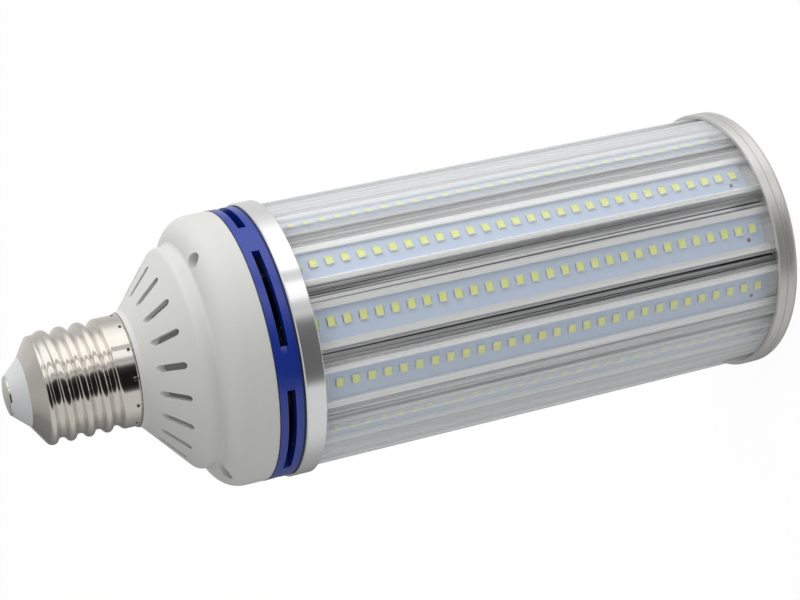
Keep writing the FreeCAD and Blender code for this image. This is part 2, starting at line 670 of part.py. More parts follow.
def make_end_cap():
    """Cup over the covers' lower ends, with a shallow dish and recessed screws."""
    body = turned_piece("end_cap", [
        ("0", "dish_depth"),
        ("dish_radius", "dish_depth"),
        ("dish_radius", "0"),
        ("end_cap_radius", "0"),
        ("end_cap_radius", "end_cap_height"),
        ("ring_bore", "end_cap_height"),
        ("ring_bore", "end_cap_floor"),
        ("0", "end_cap_floor"),
    ])
    soften(body, "Fillet", [("end_cap_radius", "0")], "end_cap_edge")
    soften(body, "Fillet", [("end_cap_radius", "end_cap_height")], "end_cap_lip")
    recess = new_sketch(body, "cap_recess_circle", "XY_Plane", "dish_depth + cap_recess", "port_turn")
    draw_circle(recess, "port_place", "0", "recess_radius")
    hole = new_sketch(body, "cap_hole", "XY_Plane", "end_cap_floor", "port_turn")
    draw_circle(hole, "port_place", "0", "port_hole_radius")
    cuts = [extrude(body, "Pocket", recess, "dish_depth + cap_recess"),
            extrude(body, "Pocket", hole, "end_cap_floor")]
    repeat_round(body, cuts, (recess, ["N_Axis"]), "screw_count")
    finish(body, "end_cap")


def make_strip(number):
    """Board, row of LEDs and clear cover of one strip."""
    turn = f"{number} * 360 / strip_count"
    suffix = f"{number + 1:02d}"

    board = new_body(f"led_board_{suffix}", turn)
    plate = new_sketch(board, f"board_{suffix}_plate", "XY_Plane", "board_base")
    draw_box(plate, "board_seat", "board_top", "-board_width / 2", "board_width / 2")
    extrude(board, "Pad", plate, "board_length")
    finish(board, f"led_board_{suffix}")

    leds = new_body(f"led_row_{suffix}", turn, several=True)
    package = new_sketch(leds, f"led_{suffix}_package", "XY_Plane", "board_base + led_margin - led_length / 2")
    draw_box(package, "board_top", "board_top + led_height",
             "led_shift - led_width / 2", "led_shift + led_width / 2")
    first = extrude(leds, "Pad", package, "led_length")
    line = leds.newObject("PartDesign::LinearPattern", f"led_{suffix}_line")
    line.Originals = [first]
    line.Direction = (package, ["N_Axis"])
    line.setExpression("Length", bound("(led_count - 1) * led_pitch"))
    line.setExpression("Occurrences", bound("led_count"))
    leds.Tip = line
    finish(leds, f"led_row_{suffix}")

    cover = new_body(f"cover_strip_{suffix}", turn)
    section = new_sketch(cover, f"cover_{suffix}_section", "XY_Plane", "end_cap_floor")
    outer_corner = "sqrt(cover_radius ^ 2 - cover_half ^ 2)"
    inner_corner = "sqrt(cover_bore ^ 2 - cover_inner ^ 2)"
    draw(section, [
        ("hook_foot", "cover_half"),
        (outer_corner, "cover_half", "cover_radius", -1),
        (outer_corner, "-cover_half"),
        ("hook_foot", "-cover_half"),
        ("hook_foot", "-hook_inner"),
        ("hook_top", "-hook_inner"),
        ("hook_top", "-cover_inner"),
        (inner_corner, "-cover_inner", "cover_bore", 1),
        (inner_corner, "cover_inner"),
        ("hook_top", "cover_inner"),
        ("hook_top", "hook_inner"),
        ("hook_foot", "hook_inner"),
    ])
    extrude(cover, "Pad", section, "sink_length - cover_end_clearance")
    finish(cover, f"cover_strip_{suffix}")


def make_driver_board():
    """Round board on the vent ring's lugs, notched for the screw pillars."""
    body = new_body("driver_board", "screw_turn")
    disc = new_sketch(body, "driver_disc", "XY_Plane", "vent_top")
    draw_circle(disc, "0", "0", "driver_radius")
    extrude(body, "Pad", disc, "driver_thickness")
    notch = new_sketch(body, "driver_notch", "XY_Plane", "driver_top")
    draw_circle(notch, "screw_place", "0", "pillar_radius + fit_clearance")
    notches = extrude(body, "Pocket", notch, "driver_thickness")
    repeat_round(body, [notches], (notch, ["N_Axis"]), "screw_count")
    finish(body, "driver_board")


def make_block(label, prefix):
    """Square component on the driver board."""
    block = doc.addObject("Part::Box", label)
    for side in ("length", "width", "height"):
        block.setExpression(side.capitalize(), bound(f"{prefix}_{side}"))
    for axis, text in (("x", f"{prefix}_x"), ("y", f"{prefix}_y"), ("z", "driver_top")):
        block.setExpression(f"Placement.Base.{axis}", bound(text))
    finish(block, label)


def make_driver_parts():
    """Components that stand on the driver board."""
    make_block("driver_transformer", "transformer")
    make_block("driver_bridge", "bridge")
    capacitors = new_body("driver_capacitors", several=True)
    choke = new_body("driver_choke")
    for prefix in ("large_capacitor", "small_capacitor"):
        can = new_sketch(capacitors, prefix, "XY_Plane", "driver_top")
        draw_circle(can, f"{prefix}_x", f"{prefix}_y", f"{prefix}_radius")
        extrude(capacitors, "Pad", can, f"{prefix}_height")
    ring = new_sketch(choke, "choke_ring", "XY_Plane", "driver_top")
    draw_circle(ring, "choke_x", "choke_y", "choke_radius")
    draw_circle(ring, "choke_x", "choke_y", "choke_bore")
    extrude(choke, "Pad", ring, "choke_height")
    finish(capacitors, "driver_capacitors")
    finish(choke, "driver_choke")


def make_leads():
    """Live lead on the axis, neutral lead to the shell and one flat lead to each strip."""
    live = doc.addObject("Part::Cylinder", "live_lead")
    live.setExpression("Radius", bound("wire_radius"))
    live.setExpression("Height", bound("stem_bottom - driver_top"))
    live.setExpression("Placement.Base.z", bound("driver_top"))
    finish(live, "live_lead")

    neutral = new_body("neutral_lead")
    route = new_sketch(neutral, "neutral_route", "XZ_Plane")
    low, bend = number_of("driver_top"), number_of("neutral_bend")
    place, joint, end = number_of("neutral_place"), number_of("neutral_joint"), number_of("neutral_end")
    rise = route.addGeometry(Part.LineSegment(
        FreeCAD.Vector(place, low, 0), FreeCAD.Vector(place, joint - bend, 0)))
    turn = route.addGeometry(arc_between(
        FreeCAD.Vector(place, joint - bend, 0), FreeCAD.Vector(place + bend, joint, 0), bend, -1))
    reach = route.addGeometry(Part.LineSegment(
        FreeCAD.Vector(place + bend, joint, 0), FreeCAD.Vector(end, joint, 0)))
    route.addConstraint(Sketcher.Constraint("Tangent", rise, 2, turn, 2))
    route.addConstraint(Sketcher.Constraint("Tangent", turn, 1, reach, 1))
    tie_point(route, rise, 1, "neutral_place", "driver_top")
    tie_point(route, rise, 2, "neutral_place", "neutral_joint - neutral_bend")
    tie_point(route, reach, 2, "neutral_end", "neutral_joint")
    tie(route, "Radius", (turn,), "neutral_bend")
    wire = new_sketch(neutral, "neutral_wire", "XY_Plane", "driver_top")
    draw_circle(wire, "neutral_place", "0", "wire_radius")
    doc.recompute()
    pipe = neutral.newObject("PartDesign::AdditivePipe", "neutral_pipe")
    pipe.Profile = wire
    pipe.Spine = route
    finish(neutral, "neutral_lead")

    flat = new_body("strip_leads", several=True)
    lead = new_sketch(flat, "strip_lead", "XY_Plane", "board_base + board_length - lead_overlap")
    draw_box(lead, "board_top", "board_top + lead_thickness", "-lead_width / 2", "lead_width / 2")
    first = extrude(flat, "Pad", lead, "vent_top - board_base - board_length + lead_overlap")
    repeat_round(flat, [first], (lead, ["N_Axis"]), "strip_count")
    finish(flat, "strip_leads")


def write_nodes():
    """Check the document and every piece, then write one file for each piece."""
    doc.recompute()
    failed = [item.Label for item in doc.Objects if {"Invalid", "Error"} & set(item.State)]
    for piece in nodes:
        if piece.Shape.isNull() or not piece.Shape.isValid() or not piece.Shape.Solids:
            failed.append(piece.Label)
    if failed:
        raise RuntimeError(f"pieces that failed: {sorted(set(failed))}")
    os.makedirs("parts", exist_ok=True)
    for piece in nodes:
        piece.Shape.exportStep(os.path.join("parts", f"{piece.Label}.step"))
        print(f"{piece.Label}: {len(piece.Shape.Solids)} solid(s), {piece.Shape.Volume / 1000:.3f} cm3")


make_contact_tip()
make_cap_insulator()
make_screw_shell()
make_driver_housing()
make_vent_ring()
make_base_ring()
make_heat_sink()
make_end_cap()
for strip in range(int(number_of("strip_count"))):
    make_strip(strip)
make_driver_board()
make_driver_parts()
make_leads()
screw_set("housing_screws", "screw_place", "screw_turn", "recess_floor",
          "screw_radius", "(recess_floor - sink_top + screw_tip)", True)
screw_set("base_ring_screws", "port_place", "port_turn", "ring_top",
          "port_screw_radius", "port_screw_length", True)
screw_set("end_cap_screws", "port_place", "port_turn", "(dish_depth + cap_recess)",
          "port_screw_radius", "port_screw_length", False)
write_nodes()
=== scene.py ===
import logging
import math
from dataclasses import dataclass
from enum import Enum, auto
from typing import Callable, Optional, Sequence, Union

import bpy
from mathutils import Matrix, Vector


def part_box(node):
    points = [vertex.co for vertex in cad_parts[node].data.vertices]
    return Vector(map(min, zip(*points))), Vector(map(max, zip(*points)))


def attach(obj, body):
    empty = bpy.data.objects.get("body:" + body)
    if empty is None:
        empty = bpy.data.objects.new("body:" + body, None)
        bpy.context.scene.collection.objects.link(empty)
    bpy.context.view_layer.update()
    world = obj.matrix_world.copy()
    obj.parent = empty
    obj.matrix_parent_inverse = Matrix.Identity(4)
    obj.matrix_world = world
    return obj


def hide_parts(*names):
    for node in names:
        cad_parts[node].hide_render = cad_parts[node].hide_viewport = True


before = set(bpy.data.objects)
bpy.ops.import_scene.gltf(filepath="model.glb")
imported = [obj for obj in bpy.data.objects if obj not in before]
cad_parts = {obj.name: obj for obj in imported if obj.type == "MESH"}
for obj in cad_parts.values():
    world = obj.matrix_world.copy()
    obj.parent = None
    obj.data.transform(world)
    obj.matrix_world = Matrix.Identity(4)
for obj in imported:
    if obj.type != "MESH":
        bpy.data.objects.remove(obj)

# Looks of a corn LED lamp that stands on its end cap. Sizes are in metres, and MM turns millimetres
# into them. The strip that faces +X is the first, and the rest follow it round the axis.

LOG = logging.getLogger("corn_lamp")
MM = 0.001
STRIP_COUNT = 12
STRIP_TURN = math.tau / STRIP_COUNT

# Cross-head screws: those in the ports of the extrusion, and those in the housing's shoulder.
PORT_CIRCLE = 34.8 * MM
PORT_TURN = math.radians(30)
SHOULDER_CIRCLE = 43.0 * MM
SHOULDER_TURN = math.radians(75)

# Ends of the range in which nearly all of a grain's tone lies.
TONE_LOW = 0.3
TONE_HIGH = 0.7

# Share of its length that a drawn grain's pattern keeps along the axis, where it runs on as lines.
DRAWN_SHARE = 0.004

# Least height of the normal of a face that looks up.
LOOKS_UP = 0.9

Colour = tuple[float, float, float]
Material = bpy.types.Material
Node = bpy.types.Node
Piece = bpy.types.Object
Socket = bpy.types.NodeSocket
Tree = bpy.types.NodeTree
Value = Union[float, Socket]


def strip_name(stem: str, number: int) -> str:
    """Name of a strip's piece, with the strip's number from 1."""
    return f"{stem}_{number:02d}"


def ease(share: float) -> float:
    """Smooth step from 0 to 1."""
    return share * share * (3 - 2 * share)


class Effect(Enum):
    """Shared masks of a surface, each one a node group: painted highlight on edges, painted shade in
    crevices and enclosed places, and walls.
    """

    EDGE_HIGHLIGHT = auto()
    CREVICE_SHADE = auto()
    ENCLOSED_SHADE = auto()
    WALLS = auto()


class NodeBench:
    """Places and links the nodes of one tree."""

    def __init__(self, tree: Tree) -> None:
        """Start on an empty tree."""
        self.tree = tree
        self.tree.nodes.clear()

    def add(self, kind: str, **settings: object) -> Node:
        """Add a node.

        Args:
            kind: Blender's name for the node's type.
            settings: attributes to set on it.

        Returns:
            The new node.
        """
        node = self.tree.nodes.new(kind)
        for name, value in settings.items():
            setattr(node, name, value)
        return node

    def feed(self, target: Socket, value: object) -> None:
        """Link a socket to an input, or set the input to a plain value.

        Args:
            target: the input.
            value: socket or value that it gets.
        """
        if isinstance(value, Socket):
            self.tree.links.new(value, target)
        else:
            target.default_value = value

    def feed_all(self, node: Node, inputs: dict[str, object]) -> None:
        """Feed several inputs of a node, by their names."""
        for name, value in inputs.items():
            self.feed(node.inputs[name], value)

    def math(self, operation: str, first: Value, second: Value = 0.0, clamp: bool = False) -> Socket:
        """Add a sum of two values.

        Args:
            operation: name of the Math node's operation.
            first: first value or socket.
            second: second value or socket.
            clamp: keep the result between 0 and 1.

        Returns:
            The result's socket.
        """
        node = self.add("ShaderNodeMath", operation=operation, use_clamp=clamp)
        self.feed(node.inputs[0], first)
        self.feed(node.inputs[1], second)
        return node.outputs[0]

    def mix(self, share: Value, first: object, second: object) -> Socket:
        """Add a mix of two colours.

        Args:
            share: share of the second colour.
            first: colour or socket.
            second: colour or socket.

        Returns:
            The mixed colour's socket.
        """
        node = self.add("ShaderNodeMix", data_type="RGBA")
        self.feed(node.inputs["Factor"], share)
        for socket, value in ((node.inputs[6], first), (node.inputs[7], second)):
            self.feed(socket, value if isinstance(value, Socket) else (*value, 1.0))
        return node.outputs[2]

    def span(self, value: Value, low: float, high: float, to_low: Value, to_high: Value) -> Socket:
        """Carry a value from one range over to another, held at its ends.

        Args:
            value: value or socket.
            low: start of its range.
            high: end of its range.
            to_low: result at the start.
            to_high: result at the end.

        Returns:
            The result's socket.
        """
        node = self.add("ShaderNodeMapRange", clamp=True)
        for socket, item in zip(node.inputs, (value, low, high, to_low, to_high)):
            self.feed(socket, item)
        return node.outputs[0]

    def vector(self, operation: str, first: Socket, second: object = None) -> Socket:
        """Add a sum of vectors.

        Args:
            operation: name of the Vector Math node's operation.
            first: first vector's socket.
            second: second vector or socket, if the operation has one.

        Returns:
            The result's socket.
        """
        node = self.add("ShaderNodeVectorMath", operation=operation)
        self.feed(node.inputs[0], first)
        if second is not None:
            self.feed(node.inputs[1], second)
        return node.outputs["Value" if operation in ("DOT_PRODUCT", "LENGTH") else "Vector"]

    def axes(self, vector: Socket) -> bpy.types.NodeOutputs:
        """Split a vector.

        Args:
            vector: the vector's socket.

        Returns:
            Sockets of its X, Y and Z.
        """
        node = self.add("ShaderNodeSeparateXYZ")
        self.feed(node.inputs[0], vector)
        return node.outputs

    def place(self) -> Socket:
        """Coordinates of the object, in metres."""
        return self.add("ShaderNodeTexCoord").outputs["Object"]

    def normal(self) -> Socket:
        """Normal of the surface."""
        return self.add("ShaderNodeNewGeometry").outputs["Normal"]

    def noise(self, vector: Socket, scale: Value, detail: float = 3.0) -> Socket:
        """Add a noise pattern.

        Args:
            vector: coordinates to read it at.
            scale: patches for each unit of the coordinates.
            detail: octaves of finer noise.

        Returns:
            The pattern's value.
        """
        node = self.add("ShaderNodeTexNoise", noise_dimensions="3D")
        self.feed_all(node, {"Vector": vector, "Scale": scale, "Detail": detail})
        return node.outputs[0]


def new_material(name: str) -> tuple[Material, NodeBench]:
    """Start a material.

    Args:
        name: the material's name.

    Returns:
        The material, and the bench for its nodes.
    """
    material = bpy.data.materials.new(name)
    material.use_nodes = True
    return material, NodeBench(material.node_tree)


def drawn_place(bench: NodeBench) -> Socket:
    """Coordinates drawn out along the lamp's axis."""
    return bench.vector("MULTIPLY", bench.place(), (1.0, 1.0, DRAWN_SHARE))


def turned_place(bench: NodeBench) -> Socket:
    """Coordinates that are the same all round the lamp's axis.

    Args:
        bench: bench of the group that reads them.

    Returns:
        Their socket.
    """
    axes = bench.axes(bench.place())
    squares = [bench.math("MULTIPLY", axes[axis], axes[axis]) for axis in "XY"]
    rings = bench.add("ShaderNodeCombineXYZ")
    bench.feed_all(rings, {"X": bench.math("SQRT", bench.math("ADD", *squares)), "Z": axes["Z"]})
    return rings.outputs[0]


@dataclass(frozen=True)
class GrainPattern:
    """How a grain's noise lies: its coordinates, its fine noise and its broad noise."""

    place: Callable[[NodeBench], Socket]
    detail: float
    broad_share: float
    broad_detail: float


class Grain(Enum):
    """Way in which a surface was made, and the pattern that shows it."""

    MOULDED = GrainPattern(NodeBench.place, detail=3.0, broad_share=0.02, broad_detail=3.0)
    DRAWN = GrainPattern(drawn_place, detail=4.0, broad_share=0.25, broad_detail=2.0)
    TURNED = GrainPattern(turned_place, detail=4.0, broad_share=0.2, broad_detail=2.0)


Shared = Union[Effect, Grain]


class EffectLibrary:
    """Builds the node group of each mask and grain once, and places it in materials.

    A pair of numbers tells where a mask begins and where it is full.
    """

    # Painted highlight on edges: where it starts and is full, its patches and its rays.
    HIGHLIGHT_TURN = (0.99, 0.8)
    HIGHLIGHT_PATCH_SCALE = 900.0
    HIGHLIGHT_PATCHES = (0.35, 0.6)
    HIGHLIGHT_LEAST = 0.5
    HIGHLIGHT_SAMPLES = 4
    SHADED = (0.75, 0.2)
    SHADED_SAMPLES = 6
    UPRIGHT = (0.7, 0.4)
    CHANNEL_FROM = 0.28

    def __init__(self) -> None:
        """Start with no groups."""
        self.groups: dict[Shared, Tree] = {}
        self.builders: dict[Shared, Callable[[Shared], Tree]] = {
            **dict.fromkeys(Grain, self.grain),
            Effect.EDGE_HIGHLIGHT: self.edge_highlight,
            Effect.CREVICE_SHADE: self.hollow,
            Effect.ENCLOSED_SHADE: self.hollow,
            Effect.WALLS: self.walls,
        }

    def use(self, bench: NodeBench, effect: Shared, **values: Value) -> bpy.types.NodeOutputs:
        """Place an effect in a material.

        Args:
            bench: the material's nodes.
            effect: which effect.
            values: its inputs by name.

        Returns:
            The group's outputs.
        """
        if effect not in self.groups:
            self.groups[effect] = self.builders[effect](effect)
        node = bench.add("ShaderNodeGroup", node_tree=self.groups[effect])
        bench.feed_all(node, {name.capitalize(): value for name, value in values.items()})
        return node.outputs

    @staticmethod
    def blank(
        effect: Shared, inputs: dict[str, float], outputs: Sequence[str]
    ) -> tuple[NodeBench, bpy.types.NodeOutputs, Node]:
        """Make an empty group with value sockets.

        Args:
            effect: effect that the group is for.
            inputs: names and first values of the inputs.
            outputs: names of the outputs.

        Returns:
            The group's bench, its given values and its output node.
        """
        tree = bpy.data.node_groups.new(effect.name.lower(), "ShaderNodeTree")
        bench = NodeBench(tree)
        for name, value in inputs.items():
            socket = tree.interface.new_socket(name=name, in_out="INPUT", socket_type="NodeSocketFloat")
            socket.default_value = value
        for name in outputs:
            tree.interface.new_socket(name=name, in_out="OUTPUT", socket_type="NodeSocketFloat")
        return bench, bench.add("NodeGroupInput").outputs, bench.add("NodeGroupOutput")

    def grain(self, grain: Grain) -> Tree:
        """Skin of a surface: a fine texture, and a broad drift of tone.

        Args:
            grain: way in which the surface was made.

        Returns:
            The group.
        """
        pattern = grain.value
        bench, given, result = self.blank(grain, {"Scale": 3000.0}, ("Height", "Tone"))
        place = pattern.place(bench)
        broad = bench.math("MULTIPLY", given["Scale"], pattern.broad_share)
        bench.feed_all(result, {"Height": bench.noise(place, given["Scale"], pattern.detail),
                                "Tone": bench.noise(place, broad, pattern.broad_detail)})
        return bench.tree

    def edge_highlight(self, effect: Effect) -> Tree:
        """Mask of the outer edges, broken by noise, where a highlight is painted.

        Args:
            effect: effect that the group is for.

        Returns:
            The group.
        """
        bench, given, result = self.blank(effect, {"Radius": 0.4 * MM}, ("Mask",))
        bevel = bench.add("ShaderNodeBevel", samples=self.HIGHLIGHT_SAMPLES)
        bench.feed(bevel.inputs["Radius"], given["Radius"])
        turn = bench.vector("DOT_PRODUCT", bevel.outputs[0], bench.normal())
        mask = bench.span(turn, *self.HIGHLIGHT_TURN, 0.0, 1.0)
        patches = bench.noise(bench.place(), self.HIGHLIGHT_PATCH_SCALE)
        broken = bench.span(patches, *self.HIGHLIGHT_PATCHES, self.HIGHLIGHT_LEAST, 1.0)
        bench.feed(result.inputs["Mask"], bench.math("MULTIPLY", mask, broken))
        return bench.tree

    def hollow(self, effect: Effect) -> Tree:
        """Mask of the places that little light reaches.

        Args:
            effect: crevices of the piece itself, or all that its neighbours enclose.

        Returns:
            The group.
        """
        bench, given, result = self.blank(effect, {"Distance": 4.0 * MM, "Amount": 1.0}, ("Mask",))
        cover = bench.add("ShaderNodeAmbientOcclusion", samples=self.SHADED_SAMPLES,
                          only_local=effect is Effect.CREVICE_SHADE)
        bench.feed(cover.inputs["Distance"], given["Distance"])
        depth = bench.span(cover.outputs["AO"], *self.SHADED, 0.0, 1.0)
        bench.feed(result.inputs["Mask"], bench.math("MULTIPLY", depth, given["Amount"]))
        return bench.tree

    def walls(self, effect: Effect) -> Tree:
        """Masks of the faces that stand along the lamp's radius and of the channels, and the radius.

        Args:
            effect: effect that the group is for.

        Returns:
            The group.
        """
        bench, _, result = self.blank(effect, {}, ("Side", "Radius", "Channel"))
        flat = bench.vector("MULTIPLY", bench.place(), (1.0, 1.0, 0.0))
        lean = bench.vector("DOT_PRODUCT", bench.vector("NORMALIZE", flat), bench.normal())
        axes = bench.axes(flat)
        turn = bench.math("ARCTAN2", axes["Y"], axes["X"])
        off = bench.math("PINGPONG", bench.math("DIVIDE", turn, STRIP_TURN), 0.5)
        bench.feed_all(result, {
            "Side": bench.span(bench.math("ABSOLUTE", lean), *self.UPRIGHT, 0.0, 1.0),
            "Radius": bench.vector("LENGTH", flat),
            "Channel": bench.math("GREATER_THAN", off, self.CHANNEL_FROM),
        })
        return bench.tree


EFFECTS = EffectLibrary()


@dataclass(frozen=True)
class Skin:
    """What every finish has: two tones, a roughness and a grain."""

    name: str
    colour: Colour
    drift: Colour
    roughness: float
    swing: float = 0.06
    grain: Grain = Grain.MOULDED
    scale: float = 2200.0
    depth: float = 0.02 * MM
    bump: float = 0.15

    def make(self) -> Material:
        """Build the material's nodes.

        Returns:
            The material.
        """
        material, bench = new_material(self.name)
        shader = bench.add("ShaderNodeBsdfPrincipled")
        grain = EFFECTS.use(bench, self.grain, scale=self.scale)
        tone = grain["Tone"]
        smooth, rough = self.roughness - self.swing, self.roughness + self.swing
        bench.feed(shader.inputs["Roughness"], bench.span(tone, TONE_LOW, TONE_HIGH, smooth, rough))
        self.colour_in(bench, shader, tone, bench.mix(tone, self.colour, self.drift))
        bump = bench.add("ShaderNodeBump")
        bench.feed_all(bump, {"Strength": self.bump, "Distance": self.depth, "Height": grain["Height"]})
        bench.feed(shader.inputs["Normal"], bump.outputs["Normal"])
        bench.feed(bench.add("ShaderNodeOutputMaterial").inputs["Surface"], shader.outputs["BSDF"])
        return material

    def colour_in(self, bench: NodeBench, shader: Node, tone: Socket, colour: Socket) -> None:
        """Feed the inputs of the shader that only one kind of finish has.

        Args:
            bench: the material's nodes.
            shader: its Principled BSDF.
            tone: drift of the grain.
            colour: the two tones, mixed by that drift.
        """
        raise NotImplementedError


@dataclass(frozen=True)
class Finish(Skin):
    """Opaque finish, with painted highlights on its edges and painted shade in its crevices."""

    metallic: float = 0.0
    coat: float = 0.0
    specular: float = 0.5
    # Colour and width of the painted highlight on outer edges.
    edge: Optional[Colour] = None
    edge_width: float = 0.4 * MM
    # Colours and reach of the painted shade in crevices and in places that neighbours enclose.
    crevice_shade: Optional[Colour] = None
    crevice_share: float = 0.5
    crevice_reach: float = 4.0 * MM
    enclosed_shade: Optional[Colour] = None
    enclosed_reach: float = 20.0 * MM
    bare: Optional[float] = None
    bare_below: float = 42.0 * MM
    # Painted dark reflection streaks in the channels: their colour, and the tones where they are full and
    # where they end.
    streak: Colour = (0.04, 0.04, 0.045)
    reflection_streak_full: float = 0.40
    reflection_streak_from: float = 0.50

    def colour_in(self, bench: NodeBench, shader: Node, tone: Socket, colour: Socket) -> None:
        """Lay painted shade in crevices and enclosed places, painted highlights on edges, and bare walls
        with painted dark reflection streaks over the colour.

        Args:
            bench: the material's nodes.
            shader: its Principled BSDF.
            tone: drift of the grain.
            colour: the two tones, mixed by that drift.
        """
        # Painted shade in crevices and enclosed places, and a painted highlight on outer edges.
        tints = (
            (self.crevice_shade, Effect.CREVICE_SHADE, {"distance": self.crevice_reach, "amount": self.crevice_share}),
            (self.enclosed_shade, Effect.ENCLOSED_SHADE, {"distance": self.enclosed_reach}),
            (self.edge, Effect.EDGE_HIGHLIGHT, {"radius": self.edge_width}),
        )
        for tint, effect, sizes in tints:
            if tint is not None:
                colour = bench.mix(EFFECTS.use(bench, effect, **sizes)["Mask"], colour, tint)
        metallic: Value = self.metallic
        if self.bare is not None:
            walls = EFFECTS.use(bench, Effect.WALLS)
            deep = bench.math("LESS_THAN", walls["Radius"], self.bare_below)
            deep = bench.math("MAXIMUM", deep, walls["Side"])
            deep = bench.math("MULTIPLY", deep, walls["Channel"])
            metallic = bench.span(deep, 0.0, 1.0, self.metallic, self.bare)
            # Painted dark reflection streaks on the channels' walls and floors, where the grain's tone is
            # low.
            painted_streak = bench.span(tone, self.reflection_streak_full, self.reflection_streak_from, 1.0, 0.0)
            colour = bench.mix(bench.math("MULTIPLY", deep, painted_streak), colour, self.streak)
        bench.feed_all(shader, {"Base Color": colour, "Metallic": metallic, "Coat Weight": self.coat,
                                "Specular IOR Level": self.specular})


@dataclass(frozen=True)
class ClearFinish(Skin):
    """Clear extruded plastic: see-through from in front, veiled where it slants away."""

    # Painted highlight on the edges: its colour, width, share of cover and painted glow.
    edge: Colour = (0.95, 0.95, 0.95)
    edge_width: float = 0.3 * MM
    edge_share: float = 0.6
    edge_painted_glow: float = 0.3
    refraction: float = 1.49
    least: float = 0.03
    rise: float = 1.9
    side_veil: float = 0.3
    lined: float = 0.6
    shade: float = 0.04

    def colour_in(self, bench: NodeBench, shader: Node, tone: Socket, colour: Socket) -> None:
        """Make the plastic see-through, with a painted highlight and a painted glow on its edges and a
        streaked veil.

        Args:
            bench: the material's nodes.
            shader: its Principled BSDF.
            tone: drift of the grain.
            colour: the two tones, mixed by that drift.
        """
        edges = EFFECTS.use(bench, Effect.EDGE_HIGHLIGHT, radius=self.edge_width)["Mask"]
        side = EFFECTS.use(bench, Effect.WALLS)["Side"]
        slant = bench.math("POWER", bench.add("ShaderNodeLayerWeight").outputs["Facing"], self.rise)
        veil = bench.math("MAXIMUM", slant, bench.math("MULTIPLY", side, self.side_veil))
        streak = bench.span(tone, TONE_LOW, TONE_HIGH, 1.0 - self.lined, 1.0 + self.lined)
        seen = bench.math("MULTIPLY", veil, streak)
        seen = bench.math("ADD", seen, bench.math("MULTIPLY", edges, self.edge_share))
        seen = bench.math("ADD", seen, self.least, clamp=True)
        path = bench.add("ShaderNodeLightPath").outputs
        passing = bench.math("MAXIMUM", path["Is Shadow Ray"], path["Is Diffuse Ray"])
        # Edges get a painted highlight: a whiter colour, a painted glow and less see-through.
        bench.feed_all(shader, {
            "Base Color": bench.mix(edges, colour, self.edge),
            "Emission Color": bench.mix(edges, (0.0, 0.0, 0.0), (self.edge_painted_glow,) * 3),
            "Emission Strength": 1.0,
            "IOR": self.refraction,
            "Alpha": bench.span(passing, 0.0, 1.0, seen, self.shade),
        })


# Each crevice and enclosed colour below is painted shade, and each edge colour is a painted highlight.
NICKEL = Finish("nickel_plate", (0.75, 0.71, 0.64), (0.80, 0.77, 0.71), 0.07, swing=0.02, metallic=1.0,
                grain=Grain.TURNED, scale=2500.0, bump=0.03)
CERAMIC = Finish("white_insulator", (0.66, 0.68, 0.69), (0.69, 0.71, 0.72), 0.32, coat=0.2,
                 crevice_shade=(0.35, 0.37, 0.4))
HOUSING = Finish("satin_housing", (0.69, 0.69, 0.665), (0.71, 0.71, 0.69), 0.42, bump=0.12,
                 edge=(0.80, 0.80, 0.79), crevice_shade=(0.36, 0.37, 0.36))
BLUE = Finish("blue_moulding", (0.003, 0.027, 0.30), (0.004, 0.033, 0.34), 0.27, bump=0.10, specular=0.8,
              edge=(0.05, 0.10, 0.5), crevice_shade=(0.004, 0.010, 0.08))
RING_METAL = Finish("turned_aluminium", (0.90, 0.90, 0.91), (0.97, 0.97, 0.98), 0.13, swing=0.03,
                    metallic=0.82, grain=Grain.TURNED, scale=5000.0, bump=0.05,
                    edge=(0.98, 0.98, 0.98), enclosed_shade=(0.006, 0.006, 0.008))
SINK_METAL = Finish("drawn_aluminium", (0.90, 0.90, 0.90), (0.98, 0.98, 0.98), 0.24, swing=0.1, metallic=0.2,
                    grain=Grain.DRAWN, scale=4500.0, depth=0.05 * MM, bump=0.2, edge=(0.99, 0.99, 0.99),
                    crevice_shade=(0.010, 0.010, 0.010), crevice_reach=1.4 * MM, bare=0.3)
CAP_METAL = Finish("satin_aluminium", (0.66, 0.65, 0.63), (0.73, 0.72, 0.70), 0.3, metallic=0.6,
                   grain=Grain.TURNED, scale=3500.0, bump=0.12, edge=(0.86, 0.86, 0.85))
BOARD = Finish("white_board", (0.56, 0.66, 0.82), (0.60, 0.70, 0.85), 0.38, bump=0.08,
               crevice_shade=(0.28, 0.32, 0.38))
LED_BODY = Finish("led_body", (0.80, 0.82, 0.70), (0.85, 0.86, 0.76), 0.35, bump=0.08,
                  crevice_shade=(0.30, 0.31, 0.26))
PHOSPHOR = Finish("led_phosphor", (0.84, 0.90, 0.26), (0.90, 0.95, 0.38), 0.3, scale=9000.0, coat=0.4)
SOLDER = Finish("solder", (0.66, 0.64, 0.62), (0.75, 0.73, 0.70), 0.25, metallic=1.0)
COPPER_SPOT = Finish("bare_pad", (0.22, 0.15, 0.12), (0.30, 0.20, 0.16), 0.45)
STEEL = Finish("zinc_screw", (0.60, 0.60, 0.60), (0.70, 0.69, 0.67), 0.25, metallic=1.0,
               crevice_shade=(0.1, 0.1, 0.1))
# Dark colour of painted shade in the gaps at the vent ring's and the screw shell's joints.
GAP_SHADE = Finish("painted_gap_shade", (0.010, 0.013, 0.035), (0.014, 0.018, 0.045), 0.6)
# Dark colour of painted shade in the punch marks' hollows.
PUNCH_SHADE = Finish("punch_painted_shade", (0.020, 0.019, 0.018), (0.030, 0.028, 0.026), 0.5)
LINER = Finish("liner_film", (0.24, 0.24, 0.23), (0.29, 0.29, 0.28), 0.5)
